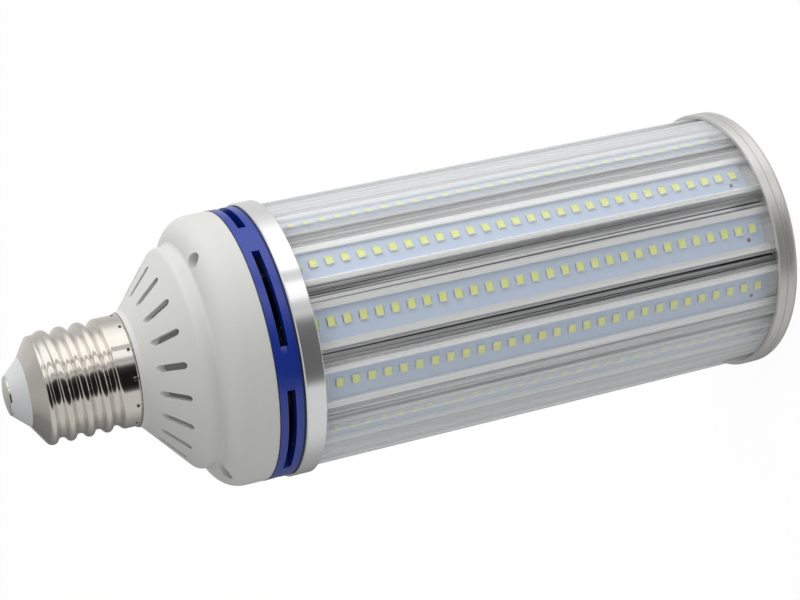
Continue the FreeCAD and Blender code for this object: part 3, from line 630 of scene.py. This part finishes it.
# Darker line round the end cap: painted shade of a fine groove.
CAP_LINE = Finish("cap_line", (0.41, 0.40, 0.39), (0.48, 0.47, 0.46), 0.4, metallic=0.5)
DRIVER_BOARD = Finish("driver_mask", (0.012, 0.07, 0.025), (0.016, 0.085, 0.03), 0.4)
DRIVER_PART = Finish("driver_part", (0.03, 0.03, 0.033), (0.045, 0.045, 0.05), 0.45,
                     edge=(0.09, 0.09, 0.095))
WIRE = Finish("wire_skin", (0.016, 0.016, 0.018), (0.024, 0.024, 0.026), 0.4)
CLEAR = ClearFinish("clear_cover", (0.70, 0.71, 0.72), (0.84, 0.85, 0.86), 0.12, swing=0.036,
                    grain=Grain.DRAWN, scale=5000.0, bump=0.2)

# Finish of each node, by the start of its name. The first that fits is taken.
NODE_FINISHES: dict[str, Skin] = {
    "contact_tip": NICKEL, "cap_insulator": CERAMIC, "screw_shell": NICKEL, "driver_housing": HOUSING,
    "housing_screws": STEEL, "vent_ring": BLUE, "base_ring_screws": STEEL, "base_ring": RING_METAL,
    "heat_sink": SINK_METAL, "end_cap_screws": STEEL, "end_cap": CAP_METAL, "led_board": BOARD,
    "led_row": PHOSPHOR, "cover_strip": CLEAR, "driver_board": DRIVER_BOARD, "driver_": DRIVER_PART,
    "live_lead": WIRE, "neutral_lead": WIRE, "strip_leads": WIRE,
}


class Paintbox:
    """Makes each finish's material once and puts it on objects."""

    def __init__(self) -> None:
        """Start with no materials."""
        self.made: dict[str, Material] = {}

    def material(self, finish: Skin) -> Material:
        """Make a finish's material at its first use.

        Args:
            finish: the finish.

        Returns:
            Its material.
        """
        if finish.name not in self.made:
            self.made[finish.name] = finish.make()
        return self.made[finish.name]

    def dress(self, piece: Piece, *finishes: Skin) -> None:
        """Give a new piece its materials.

        Args:
            piece: the piece.
            finishes: its finishes, in the order of its faces' slots.
        """
        piece.data.materials.clear()
        for finish in finishes:
            piece.data.materials.append(self.material(finish))

    def dress_nodes(self) -> None:
        """Give every node of the frame the material that its name asks for."""
        for name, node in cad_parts.items():
            stem = next(stem for stem in NODE_FINISHES if name.startswith(stem))
            material = self.material(NODE_FINISHES[stem])
            if not node.material_slots:
                node.data.materials.append(material)
            for slot in node.material_slots:
                slot.material = material
            LOG.info("node %s: %s", name, material.name)


PAINT = Paintbox()


class Workbench:
    """Modelling steps on one piece at a time, in object and edit mode."""

    ROUNDED_TURN = math.radians(40.0)

    @staticmethod
    def edit() -> None:
        """Go to edit mode."""
        bpy.ops.object.mode_set(mode="EDIT")

    @staticmethod
    def leave() -> None:
        """Go back to object mode."""
        bpy.ops.object.mode_set(mode="OBJECT")

    @classmethod
    def clear(cls) -> None:
        """Leave edit mode and deselect everything."""
        if bpy.context.object is not None and bpy.context.object.mode != "OBJECT":
            cls.leave()
        bpy.ops.object.select_all(action="DESELECT")

    @classmethod
    def pick(cls, *pieces: Piece) -> None:
        """Select pieces and nothing else.

        Args:
            pieces: the pieces, of which the first is made active.
        """
        cls.clear()
        for piece in pieces:
            piece.select_set(True)
        bpy.context.view_layer.objects.active = pieces[0]

    @classmethod
    def cube(cls, name: str, low: Vector, high: Vector) -> Piece:
        """Add a box between two corners.

        Args:
            name: the piece's name.
            low: lowest corner.
            high: highest corner.

        Returns:
            The piece, at the origin, with its place in its mesh.
        """
        cls.clear()
        bpy.ops.mesh.primitive_cube_add(size=1.0, location=(0, 0, 0))
        piece = bpy.context.object
        piece.name = name
        cls.edit()
        bpy.ops.transform.resize(value=tuple(high - low))
        bpy.ops.transform.translate(value=tuple((low + high) / 2))
        cls.leave()
        return piece

    @classmethod
    def cylinder(
        cls, name: str, radius: float, low: float, high: float, sides: int, fill: str = "NGON"
    ) -> Piece:
        """Add a cylinder on the Z axis.

        Args:
            name: the piece's name.
            radius: its radius.
            low: its lower end.
            high: its upper end.
            sides: number of sides.
            fill: how its ends are closed.

        Returns:
            The piece, at the origin, with its place in its mesh.
        """
        cls.clear()
        bpy.ops.mesh.primitive_cylinder_add(
            vertices=sides, radius=radius, depth=high - low, end_fill_type=fill, location=(0, 0, 0))
        piece = bpy.context.object
        piece.name = name
        cls.edit()
        bpy.ops.transform.translate(value=(0, 0, (low + high) / 2))
        cls.leave()
        return piece

    @classmethod
    def deselect(cls, piece: Piece, kind: str) -> None:
        """Leave nothing of a piece selected.

        Args:
            piece: the piece to work on.
            kind: FACE or EDGE, what is to be selected next.
        """
        cls.pick(piece)
        cls.edit()
        bpy.ops.mesh.select_mode(type=kind)
        bpy.ops.mesh.select_all(action="DESELECT")
        cls.leave()

    @classmethod
    def select_faces(cls, piece: Piece, test: Callable[[bpy.types.MeshPolygon], bool]) -> None:
        """Enter face mode with only those faces selected that pass a test.

        Args:
            piece: the piece to work on.
            test: True for a face to select.
        """
        cls.deselect(piece, "FACE")
        for face in piece.data.polygons:
            face.select = test(face)
        cls.edit()

    @classmethod
    def select_edges(cls, piece: Piece, test: Callable[[Vector, Vector], bool]) -> None:
        """Enter edge mode with only those edges selected that pass a test.

        Args:
            piece: the piece to work on.
            test: True for an edge to select, from its two ends.
        """
        cls.deselect(piece, "EDGE")
        places = [vertex.co for vertex in piece.data.vertices]
        for edge in piece.data.edges:
            edge.select = test(*(places[index] for index in edge.vertices))
        cls.edit()

    @staticmethod
    def paint(piece: Piece, index: int, only_selected: bool = False) -> None:
        """Put faces in one of their piece's material slots.

        Args:
            piece: the piece to work on.
            index: the slot's number.
            only_selected: leave the faces that aren't selected.
        """
        for face in piece.data.polygons:
            if face.select or not only_selected:
                face.material_index = index

    @classmethod
    def modify(cls, piece: Piece, kind: str, **settings: object) -> None:
        """Put a modifier on a piece and apply it.

        Args:
            piece: the piece to work on.
            kind: Blender's name for the modifier's type.
            settings: attributes to set on it.
        """
        cls.pick(piece)
        modifier = piece.modifiers.new(kind, kind)
        for name, value in settings.items():
            setattr(modifier, name, value)
        bpy.ops.object.modifier_apply(modifier=modifier.name)

    @classmethod
    def thicken(cls, piece: Piece, wall: float) -> None:
        """Give a skin a wall inside its surface."""
        cls.modify(piece, "SOLIDIFY", thickness=wall, offset=-1.0)

    @classmethod
    def bevel(cls, piece: Piece, width: float, segments: int = 2) -> None:
        """Round the sharp edges of a piece.

        Args:
            piece: the piece to work on.
            width: width of the rounding.
            segments: faces across it.
        """
        cls.modify(piece, "BEVEL", width=width, segments=segments, limit_method="ANGLE",
                   angle_limit=cls.ROUNDED_TURN)

    @classmethod
    def cut(cls, piece: Piece, cutter: Piece) -> None:
        """Take one piece's volume out of another and throw the cutter away."""
        cls.modify(piece, "BOOLEAN", operation="DIFFERENCE", solver="EXACT", object=cutter)
        bpy.data.objects.remove(cutter)

    @classmethod
    def join(cls, *pieces: Piece) -> Piece:
        """Join pieces into the first of them.

        Args:
            pieces: the pieces.

        Returns:
            The first piece.
        """
        cls.pick(*pieces)
        bpy.ops.object.join()
        return bpy.context.object

    @classmethod
    def repeat(cls, piece: Piece, count: int, step: Vector) -> None:
        """Repeat a piece's mesh along a line.

        Args:
            piece: the piece to work on.
            count: copies in all.
            step: way from one copy to the next.
        """
        cls.modify(piece, "ARRAY", count=count, use_relative_offset=False, use_constant_offset=True,
                   constant_offset_displace=step)

    @staticmethod
    def turned_copy(piece: Piece, name: str, turn: float) -> Piece:
        """Copy a piece round the lamp's axis.

        Args:
            piece: the piece to copy.
            name: the copy's name.
            turn: angle about the axis, in radians.

        Returns:
            The copy, with a mesh of its own.
        """
        copy = piece.copy()
        copy.data = piece.data.copy()
        copy.name = copy.data.name = name
        copy.data.transform(Matrix.Rotation(turn, 4, "Z"))
        bpy.context.collection.objects.link(copy)
        return copy

    @classmethod
    def ring(cls, piece: Piece, name: str, first_turn: float, count: int) -> Piece:
        """Copy a piece round the lamp's axis and throw the first away.

        Args:
            piece: the piece to copy.
            name: name of the whole ring.
            first_turn: angle of the first copy about the axis, in radians.
            count: number of copies.

        Returns:
            The copies, joined to one piece.
        """
        turns = [first_turn + number * math.tau / count for number in range(count)]
        copies = [cls.turned_copy(piece, name, turn) for turn in turns]
        bpy.data.objects.remove(piece)
        whole = cls.join(*copies)
        whole.name = whole.data.name = name
        return whole

    @classmethod
    def smooth(cls, piece: Piece, angle: float = 35.0) -> None:
        """Shade a piece smooth across edges under an angle in degrees."""
        cls.pick(piece)
        bpy.ops.object.shade_smooth_by_angle(angle=math.radians(angle))


def settle(piece: Piece, slot: str, *nodes: str) -> None:
    """Tie a finished piece to the lamp.

    Args:
        piece: the finished piece.
        slot: material slot of the record that it belongs to; not used.
        nodes: nodes of the frame that it stands for, if any.
    """
    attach(piece, "root")
    if nodes:
        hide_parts(*nodes)
    LOG.info("piece %s: %d faces", piece.name, len(piece.data.polygons))


@dataclass
class LedStrips:
    """LED packages and solder pads on the twelve boards."""

    led_count: int = 30
    led_length: float = 2.8 * MM
    rim: float = 0.24 * MM
    recess: float = 0.10 * MM
    rounding: float = 0.08 * MM
    terminal_reach: float = 0.28 * MM
    terminal_width: float = 2.5 * MM
    terminal_height: float = 0.22 * MM
    pad_radius: float = 0.75 * MM
    pad_height: float = 0.12 * MM
    pad_sides: int = 20
    pad_rounding: float = 0.6
    pad_from_led: float = 2.2 * MM
    pad_across: float = -3.0 * MM
    joint_from_end: float = 2.0 * MM

    def package(self) -> Piece:
        """Model the first package of the strip that faces +X.

        Returns:
            White body with a sunk phosphor face and two metal terminals.
        """
        low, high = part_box(strip_name("led_row", 1))
        high = Vector((high.x, high.y, low.z + self.led_length))
        body = Workbench.cube("led_package", low, high)
        Workbench.bevel(body, self.rounding, 1)
        top = high.x - self.rounding / 2
        Workbench.select_faces(body, lambda face: face.center.x > top)
        bpy.ops.mesh.inset(thickness=self.rim, depth=0.0)
        bpy.ops.mesh.inset(thickness=self.recess / 2, depth=-self.recess)
        Workbench.leave()
        PAINT.dress(body, LED_BODY, PHOSPHOR, SOLDER)
        Workbench.paint(body, 1, only_selected=True)
        middle = (low.y + high.y) / 2
        ends = []
        for end, reach in ((low.z, -self.terminal_reach), (high.z, self.terminal_reach)):
            bottom, top = sorted((end - reach / 2, end + reach))
            tab = Workbench.cube(
                "terminal",
                Vector((low.x, middle - self.terminal_width / 2, bottom)),
                Vector((low.x + self.terminal_height, middle + self.terminal_width / 2, top)))
            Workbench.bevel(tab, self.rounding / 2, 1)
            PAINT.dress(tab, LED_BODY, PHOSPHOR, SOLDER)
            Workbench.paint(tab, 2)
            ends.append(tab)
        return Workbench.join(body, *ends)

    def pads(self) -> Piece:
        """Model the bare pad beside the far LED and the solder joint at the leads' end.

        Returns:
            Both spots of the strip that faces +X, as one piece.
        """
        board_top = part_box(strip_name("led_board", 1))[1]
        first_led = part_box(strip_name("led_row", 1))[0].z + self.led_length / 2
        levels = (first_led + self.pad_from_led, board_top.z - self.joint_from_end)
        spots = []
        for number, level in enumerate(levels):
            spot = Workbench.cylinder("spot", self.pad_radius, 0.0, self.pad_height, self.pad_sides)
            Workbench.bevel(spot, self.pad_height * self.pad_rounding)
            place = Matrix.Translation((board_top.x, self.pad_across, level))
            spot.data.transform(place @ Matrix.Rotation(math.pi / 2, 4, "Y"))
            PAINT.dress(spot, COPPER_SPOT, SOLDER)
            Workbench.paint(spot, number)
            spots.append(spot)
        return Workbench.join(*spots)

    def build(self) -> None:
        """Model the first strip's pieces and copy them round the lamp."""
        low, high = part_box(strip_name("led_row", 1))
        pitch = (high.z - low.z - self.led_length) / (self.led_count - 1)
        row = self.package()
        Workbench.repeat(row, self.led_count, Vector((0, 0, pitch)))
        pads = self.pads()
        Workbench.smooth(pads)
        for first, stem, slot, replaced in ((row, "led_packages", "led", "led_row"),
                                            (pads, "board_pads", "board", None)):
            for number in range(1, STRIP_COUNT + 1):
                name = strip_name(stem, number)
                copy = Workbench.turned_copy(first, name, (number - 1) * STRIP_TURN)
                settle(copy, slot, *([strip_name(replaced, number)] if replaced else []))
            bpy.data.objects.remove(first)


@dataclass
class CapTrim:
    """Punch marks that stake the screw shell to the housing, with painted shade in their hollows."""

    count: int = 12
    first_turn: float = math.radians(19.2)
    skirt_radius: float = 19.7 * MM
    level: float = 242.8 * MM
    radius: float = 0.85 * MM
    sides: int = 20
    proud: float = 0.14 * MM
    sunk: float = 0.3 * MM
    dip: float = 0.1 * MM
    rim_share: float = 0.12
    slope_share: float = 0.2

    def build(self) -> None:
        """Model one punch mark and copy it round the skirt."""
        mark = Workbench.cylinder("punch_mark", self.radius, -self.sunk, self.proud, self.sides)
        Workbench.select_faces(mark, lambda face: face.normal.z > LOOKS_UP)
        bpy.ops.mesh.inset(thickness=self.radius * self.rim_share, depth=0.0)
        bpy.ops.mesh.inset(thickness=self.radius * self.slope_share, depth=-self.dip)
        Workbench.leave()
        # The hollow of the mark gets painted shade.
        PAINT.dress(mark, NICKEL, PUNCH_SHADE)
        Workbench.paint(mark, 1, only_selected=True)
        place = Matrix.Translation((self.skirt_radius, 0, self.level))
        mark.data.transform(place @ Matrix.Rotation(math.pi / 2, 4, "Y"))
        ring = Workbench.ring(mark, "shell_punch_marks", self.first_turn, self.count)
        Workbench.smooth(ring)
        settle(ring, "nickel")


@dataclass
class ScrewShell:
    """Plated screw shell: rim, plain skirt, rolled thread and end cone."""

    sides: int = 180
    first_cut: int = 14
    second_cut: int = 14
    rim_radius: float = 20.2 * MM
    rim_height: float = 0.2 * MM
    flare_height: float = 0.3 * MM
    skirt_radius: float = 19.7 * MM
    taper: float = 0.1 * MM
    thread_pitch: float = 6.35 * MM
    thread_depth: float = 1.9 * MM
    thread_start: float = 5.9 * MM
    thread_turn: float = math.pi / 2
    fade: float = 0.3
    run_out: float = 0.3
    barrel_height: float = 31.0 * MM
    mouth_radius: float = 12.0 * MM
    corner: float = 1.2 * MM
    corner_rows: int = 8
    cone_rows: int = 4
    wall: float = 0.6 * MM
    smooth_under: float = 40.0
    level_within: float = 0.001 * MM

    def outline(self, seat: float, top: float) -> list[tuple[float, float]]:
        """Radius and height of each ring of the shell before its thread is rolled.

        Args:
            seat: height of the rim's seat.
            top: height of the mouth.

        Returns:
            The rings from the rim to the mouth.
        """
        barrel_top = seat + self.barrel_height
        end_radius = self.skirt_radius - self.taper
        slope = (end_radius - self.mouth_radius) / (top - barrel_top)
        corner = []
        for row in range(self.corner_rows + 1):
            share = row / self.corner_rows
            before, after = (1 - share) ** 2, share ** 2
            reach = self.corner / math.hypot(1, slope)
            corner.append((end_radius - after * reach * slope,
                           barrel_top - before * self.corner + after * reach))
        flare_top = seat + self.rim_height + self.flare_height
        head = [(self.rim_radius, seat), (self.rim_radius, seat + self.rim_height)]
        cone = [(corner[-1][0] + (self.mouth_radius - corner[-1][0]) * row / self.cone_rows,
                 corner[-1][1] + (top - corner[-1][1]) * row / self.cone_rows)
                for row in range(1, self.cone_rows + 1)]
        count = self.first_cut * self.second_cut + 1 - len(head) - len(corner) - len(cone)
        barrel_end = corner[0][1]
        barrel = []
        for row in range(count):
            level = flare_top + (barrel_end - flare_top) * row / count
            barrel.append((self.skirt_radius - self.taper * row / count, level))
        return head + barrel + corner + cone

    def groove(self, turn: float, level: float, seat: float) -> float:
        """Depth of the rolled thread at a place on the shell.

        Args:
            turn: angle about the axis, in radians.
            level: height of the place.
            seat: height of the rim's seat.

        Returns:
            Depth below the blank's surface.
        """
        share = ((turn - self.thread_turn) / math.tau) % 1.0
        first = seat + self.thread_start + self.thread_pitch * share
        number = round((level - first) / self.thread_pitch)
        middle = first + number * self.thread_pitch
        if number < 0:
            return 0.0
        start = min(1.0, (number + share) / self.fade)
        room = seat + self.barrel_height + self.run_out * self.thread_pitch - middle
        end = min(1.0, max(0.0, room / self.thread_pitch))
        deepness = ease(start) * ease(end)
        off = abs(level - middle)
        quarter = self.thread_pitch / 4
        arc = (quarter ** 2 + (self.thread_depth / 2) ** 2) / self.thread_depth
        if off < quarter:
            return deepness * (self.thread_depth - arc + math.sqrt(arc ** 2 - off ** 2))
        return deepness * (arc - math.sqrt(arc ** 2 - (2 * quarter - off) ** 2))

    def build(self) -> None:
        """Subdivide a tube into rings, roll the thread into it and give it a wall."""
        low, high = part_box("screw_shell")
        shell = Workbench.cylinder("screw_shell_skin", self.skirt_radius, 0.0, 1.0, self.sides, "NOTHING")
        for cuts in (self.first_cut, self.second_cut):
            Workbench.select_edges(shell, lambda start, end: abs(start.z - end.z) > self.level_within)
            bpy.ops.mesh.subdivide(number_cuts=cuts - 1)
            Workbench.leave()
        rings = self.outline(low.z, high.z)
        for vertex in shell.data.vertices:
            radius, level = rings[round(vertex.co.z * (len(rings) - 1))]
            turn = math.atan2(vertex.co.y, vertex.co.x)
            radius -= self.groove(turn, level, low.z)
            vertex.co = (radius * math.cos(turn), radius * math.sin(turn), level)
        Workbench.thicken(shell, self.wall)
        PAINT.dress(shell, NICKEL)
        Workbench.smooth(shell, self.smooth_under)
        settle(shell, "nickel", "screw_shell")


@dataclass
class VentTab:
    """Small sloped stop at the end of one slot of the vent ring."""

    turn: float = math.radians(263.7)
    inner: float = 46.6 * MM
    outer: float = 48.2 * MM
    length: float = 2.9 * MM
    slope: float = 0.8 * MM
    slot_middle: float = 4.9 * MM
    slot_height: float = 2.9 * MM
    rounding: float = 0.15 * MM

    def build(self) -> None:
        """Model the stop on the +X side and turn it into its slot."""
        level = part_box("vent_ring")[0].z + self.slot_middle
        tab = Workbench.cube("vent_slot_tab",
                             Vector((self.inner, -self.length / 2, level - self.slot_height / 2)),
                             Vector((self.outer, self.length / 2, level + self.slot_height / 2)))
        middle = (self.inner + self.outer) / 2
        Workbench.select_edges(tab, lambda start, end: min(start.x, end.x) > middle
                               and min(start.y, end.y) > 0)
        bpy.ops.transform.translate(value=(-self.slope, 0, 0))
        Workbench.leave()
        Workbench.bevel(tab, self.rounding)
        tab.data.transform(Matrix.Rotation(self.turn, 4, "Z"))
        PAINT.dress(tab, BLUE)
        Workbench.smooth(tab)
        settle(tab, "blue")


@dataclass
class ConeLiner:
    """Pale insulating film behind the slots of the housing's cone."""

    inner: float = 23.0 * MM
    outer: float = 35.7 * MM
    inner_level: float = 234.6 * MM
    outer_level: float = 223.5 * MM
    sides: int = 96
    wall: float = 0.4 * MM

    def build(self) -> None:
        """Draw the upper end of a tube in to the cone's slope and give it a wall."""
        liner = Workbench.cylinder("cone_slot_liner", self.outer, self.outer_level, self.inner_level,
                                   self.sides, "NOTHING")
        middle = (self.outer_level + self.inner_level) / 2
        Workbench.select_edges(liner, lambda start, end: min(start.z, end.z) > middle)
        share = self.inner / self.outer
        bpy.ops.transform.resize(value=(share, share, 1.0), center_override=(0, 0, self.inner_level))
        Workbench.leave()
        Workbench.thicken(liner, self.wall)
        PAINT.dress(liner, LINER)
        Workbench.smooth(liner)
        settle(liner, "housing")


@dataclass
class Seams:
    """Thin bands of painted shade in the joints where rings and screw shell meet the housing, and the line
    of painted groove shade round the end cap.
    """

    reach: float = 0.05 * MM
    wall: float = 0.5 * MM
    sides: int = 192
    upper_width: float = 0.4 * MM
    lower_width: float = 0.9 * MM
    shell_width: float = 0.3 * MM
    cap_line: float = 4.7 * MM
    cap_width: float = 0.5 * MM
    rounding: float = 0.2

    def ring(self, name: str, slot: str, radius: float, low: float, high: float,
             finish: Finish = GAP_SHADE) -> None:
        """Model one narrow band of painted shade round the lamp.

        Args:
            name: the piece's name.
            slot: material slot of the record that it belongs to.
            radius: outside of the band.
            low: its lower edge.
            high: its upper edge.
            finish: its surface.
        """
        band = Workbench.cylinder(name, radius, low, high, self.sides, "NOTHING")
        Workbench.thicken(band, self.wall)
        Workbench.bevel(band, (high - low) * self.rounding, 1)
        PAINT.dress(band, finish)
        Workbench.smooth(band)
        settle(band, slot)

    def build(self) -> None:
        """Model the joints of the vent ring and the screw shell as bands of painted gap shade, and the end
        cap's line of painted groove shade.
        """
        vent_low, vent_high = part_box("vent_ring")
        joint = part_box("driver_housing")[0].z
        shell_low, shell_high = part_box("screw_shell")
        vent, shell = vent_high.x + self.reach, shell_high.x + self.reach
        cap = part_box("end_cap")[1].x + self.reach / 2
        half = self.shell_width / 2
        self.ring("vent_ring_upper_seam", "blue", vent, joint - self.upper_width, joint)
        self.ring("vent_ring_lower_seam", "blue", vent, vent_low.z, vent_low.z + self.lower_width)
        self.ring("screw_shell_seam", "housing", shell, shell_low.z - half, shell_low.z + half)
        self.ring("end_cap_line", "aluminium", cap, self.cap_line, self.cap_line + self.cap_width, CAP_LINE)


@dataclass
class ScrewSet:
    """Cross-head screws that stand for one set of the frame."""

    name: str
    node: str
    place: float
    first_turn: float
    heads_up: bool = True
    count: int = 3
    head_radius: float = 2.7 * MM
    head_height: float = 1.3 * MM
    head_sides: int = 32
    head_rounding: float = 0.55
    head_steps: int = 4
    shank_radius: float = 1.4 * MM
    shank_sides: int = 20
    cross_length: float = 3.0 * MM
    cross_width: float = 0.7 * MM
    cross_depth: float = 0.8 * MM

    def build(self) -> None:
        """Model one screw and copy it round the axis."""
        low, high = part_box(self.node)
        head = Workbench.cylinder("screw", self.head_radius, 0.0, self.head_height, self.head_sides)
        Workbench.select_faces(head, lambda face: face.normal.z > LOOKS_UP)
        rounding = self.head_height * self.head_rounding
        bpy.ops.mesh.bevel(offset=rounding, segments=self.head_steps, affect="EDGES")
        Workbench.leave()
        half = Vector((self.cross_length / 2, self.cross_width / 2, self.cross_depth))
        face_middle = Vector((0, 0, self.head_height))
        for turn in (0.0, math.pi / 2):
            slot = Workbench.cube("cross", face_middle - half, face_middle + half)
            slot.data.transform(Matrix.Rotation(turn, 4, "Z"))
            Workbench.cut(head, slot)
        length = high.z - low.z - self.head_height
        shank = Workbench.cylinder("shank", self.shank_radius, -length, 0.0, self.shank_sides)
        screw = Workbench.join(head, shank)
        if not self.heads_up:
            screw.data.transform(Matrix.Rotation(math.pi, 4, "X"))
        seat = high.z - self.head_height if self.heads_up else low.z + self.head_height
        screw.data.transform(Matrix.Translation((self.place, 0, seat)))
        whole = Workbench.ring(screw, self.name, self.first_turn, self.count)
        PAINT.dress(whole, STEEL)
        Workbench.smooth(whole)
        settle(whole, "steel", self.node)


@dataclass
class Studio:
    """Floor, light and camera of the photograph.

    The bands are the surroundings that metal shows: a share of the turn round the lamp, from behind it and
    back, and the brightness there.
    """

    BANDS = ((0.0, 0.45), (0.045, 0.16), (0.10, 0.24), (0.160, 0.32), (0.243, 0.60), (0.366, 0.62),
             (0.382, 0.12), (0.392, 0.04), (0.410, 0.013), (0.476, 0.012), (0.510, 0.035), (0.521, 0.12),
             (0.538, 0.6), (0.551, 0.47), (0.565, 0.6), (0.576, 1.1), (0.612, 1.2), (0.617, 0.62),
             (0.640, 0.62), (0.646, 1.25), (0.704, 1.3), (0.765, 1.1), (0.800, 0.75), (0.843, 0.58),
             (0.910, 0.62), (0.965, 0.7), (1.0, 0.45))
    POLE_SPAN = (0.75, 0.95)

    floor_size: float = 12.0
    floor_drop: float = 0.05 * MM
    floor_share: float = 0.92
    paper: float = 0.9
    paper_roughness: float = 0.9
    pole: float = 0.45
    white: float = 1.03
    fill: float = 0.535
    key_place: Vector = Vector((1.0, -0.22, 0.36))
    key_target: Vector = Vector((0.0, 0.0, 0.14))
    key_size: float = 1.5
    key_power: float = 11.6
    camera_place: Vector = Vector((-0.002250, -0.671508, 0.379414))
    camera_target: Vector = Vector((0.003287, -0.000027, 0.137441))
    camera_up: Vector = Vector((0.976051, -0.080830, -0.201967))
    lens: float = 88.374
    sensor: float = 36.0
    nearest: float = 0.01

    def floor(self) -> None:
        """Pale floor that looks white and keeps the lamp's shadow."""
        Workbench.clear()
        bpy.ops.mesh.primitive_plane_add(size=self.floor_size, location=(0, 0, -self.floor_drop))
        floor = bpy.context.object
        floor.name = "floor"
        floor.visible_glossy = False
        material, bench = new_material("floor_paper")
        paper = bench.add("ShaderNodeBsdfPrincipled")
        grey = (self.paper, self.paper, self.paper, 1.0)
        bench.feed_all(paper, {"Base Color": grey, "Roughness": self.paper_roughness})
        glow = bench.add("ShaderNodeEmission")
        bench.feed(glow.inputs["Strength"], self.white)
        path = bench.add("ShaderNodeLightPath").outputs
        seen = bench.math("MAXIMUM", path["Is Camera Ray"], path["Is Transmission Ray"])
        seen = bench.math("MAXIMUM", seen, path["Is Glossy Ray"])
        mix = bench.add("ShaderNodeMixShader")
        bench.feed(mix.inputs[0], bench.math("MULTIPLY", seen, self.floor_share))
        bench.feed(mix.inputs[1], paper.outputs["BSDF"])
        bench.feed(mix.inputs[2], glow.outputs["Emission"])
        bench.feed(bench.add("ShaderNodeOutputMaterial").inputs["Surface"], mix.outputs[0])
        floor.data.materials.append(material)

    def world(self) -> None:
        """White surroundings, soft fill light, and bands of light and dark for metal to show."""
        world = bpy.data.worlds.new("studio")
        bpy.context.scene.world = world
        world.use_nodes = True
        bench = NodeBench(world.node_tree)
        axes = bench.axes(bench.add("ShaderNodeTexCoord").outputs["Generated"])
        turn = bench.math("ARCTAN2", axes["X"], bench.math("MULTIPLY", axes["Y"], -1.0))
        room = bench.add("ShaderNodeValToRGB")
        while len(room.color_ramp.elements) < len(self.BANDS):
            room.color_ramp.elements.new(0.5)
        for element, (position, level) in zip(room.color_ramp.elements, self.BANDS):
            element.position = position
            element.color = (level, level, level, 1.0)
        bench.feed(room.inputs[0], bench.span(turn, -math.pi, math.pi, 0.0, 1.0))
        steep = bench.span(bench.math("ABSOLUTE", axes["Z"]), *self.POLE_SPAN, 0.0, 1.0)
        seen = bench.mix(steep, room.outputs[0], (self.pole,) * 3)
        path = bench.add("ShaderNodeLightPath").outputs
        bare = bench.math("MAXIMUM", path["Is Camera Ray"], path["Is Transmission Ray"])
        colour = bench.mix(path["Is Glossy Ray"], (self.fill,) * 3, seen)
        colour = bench.mix(bare, colour, (1.0, 1.0, 1.0))
        light = bench.add("ShaderNodeBackground")
        bench.feed(light.inputs["Color"], colour)
        bench.feed(bench.add("ShaderNodeOutputWorld").inputs["Surface"], light.outputs["Background"])

    def key_light(self) -> None:
        """Large soft lamp over the side that the photograph shows from above."""
        data = bpy.data.lights.new("key", "AREA")
        data.shape = "SQUARE"
        data.size = self.key_size
        data.energy = self.key_power
        lamp = bpy.data.objects.new("key", data)
        lamp.location = self.key_place
        lamp.visible_glossy = False
        lamp.rotation_euler = (self.key_target - self.key_place).to_track_quat("-Z", "Y").to_euler()
        bpy.context.collection.objects.link(lamp)

    def camera(self) -> None:
        """Camera of the photograph, rolled so that the lamp lies across the picture."""
        data = bpy.data.cameras.new("camera")
        data.lens = self.lens
        data.sensor_width = self.sensor
        data.clip_start = self.nearest
        camera = bpy.data.objects.new("camera", data)
        back = (self.camera_place - self.camera_target).normalized()
        right = self.camera_up.cross(back).normalized()
        turn = Matrix((right, back.cross(right), back)).transposed().to_4x4()
        camera.matrix_world = Matrix.Translation(self.camera_place) @ turn
        bpy.context.collection.objects.link(camera)
        bpy.context.scene.camera = camera

    def build(self) -> None:
        """Set up the whole studio."""
        bpy.context.scene.view_settings.view_transform = "Standard"
        self.floor()
        self.world()
        self.key_light()
        self.camera()


def main() -> None:
    """Dress the frame and add the pieces that the photograph shows on it."""
    logging.basicConfig(level=logging.INFO, format="%(message)s")
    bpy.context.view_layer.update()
    PAINT.dress_nodes()
    screw_sets = (
        ScrewSet("cap_screw_set", "end_cap_screws", PORT_CIRCLE, PORT_TURN, heads_up=False),
        ScrewSet("ring_screw_set", "base_ring_screws", PORT_CIRCLE, PORT_TURN),
        ScrewSet("housing_screw_set", "housing_screws", SHOULDER_CIRCLE, SHOULDER_TURN),
    )
    trim = (LedStrips(), ScrewShell(), CapTrim(), VentTab(), ConeLiner(), Seams())
    for assembly in (*trim, *screw_sets, Studio()):
        assembly.build()


if __name__ == "__main__":
    main()
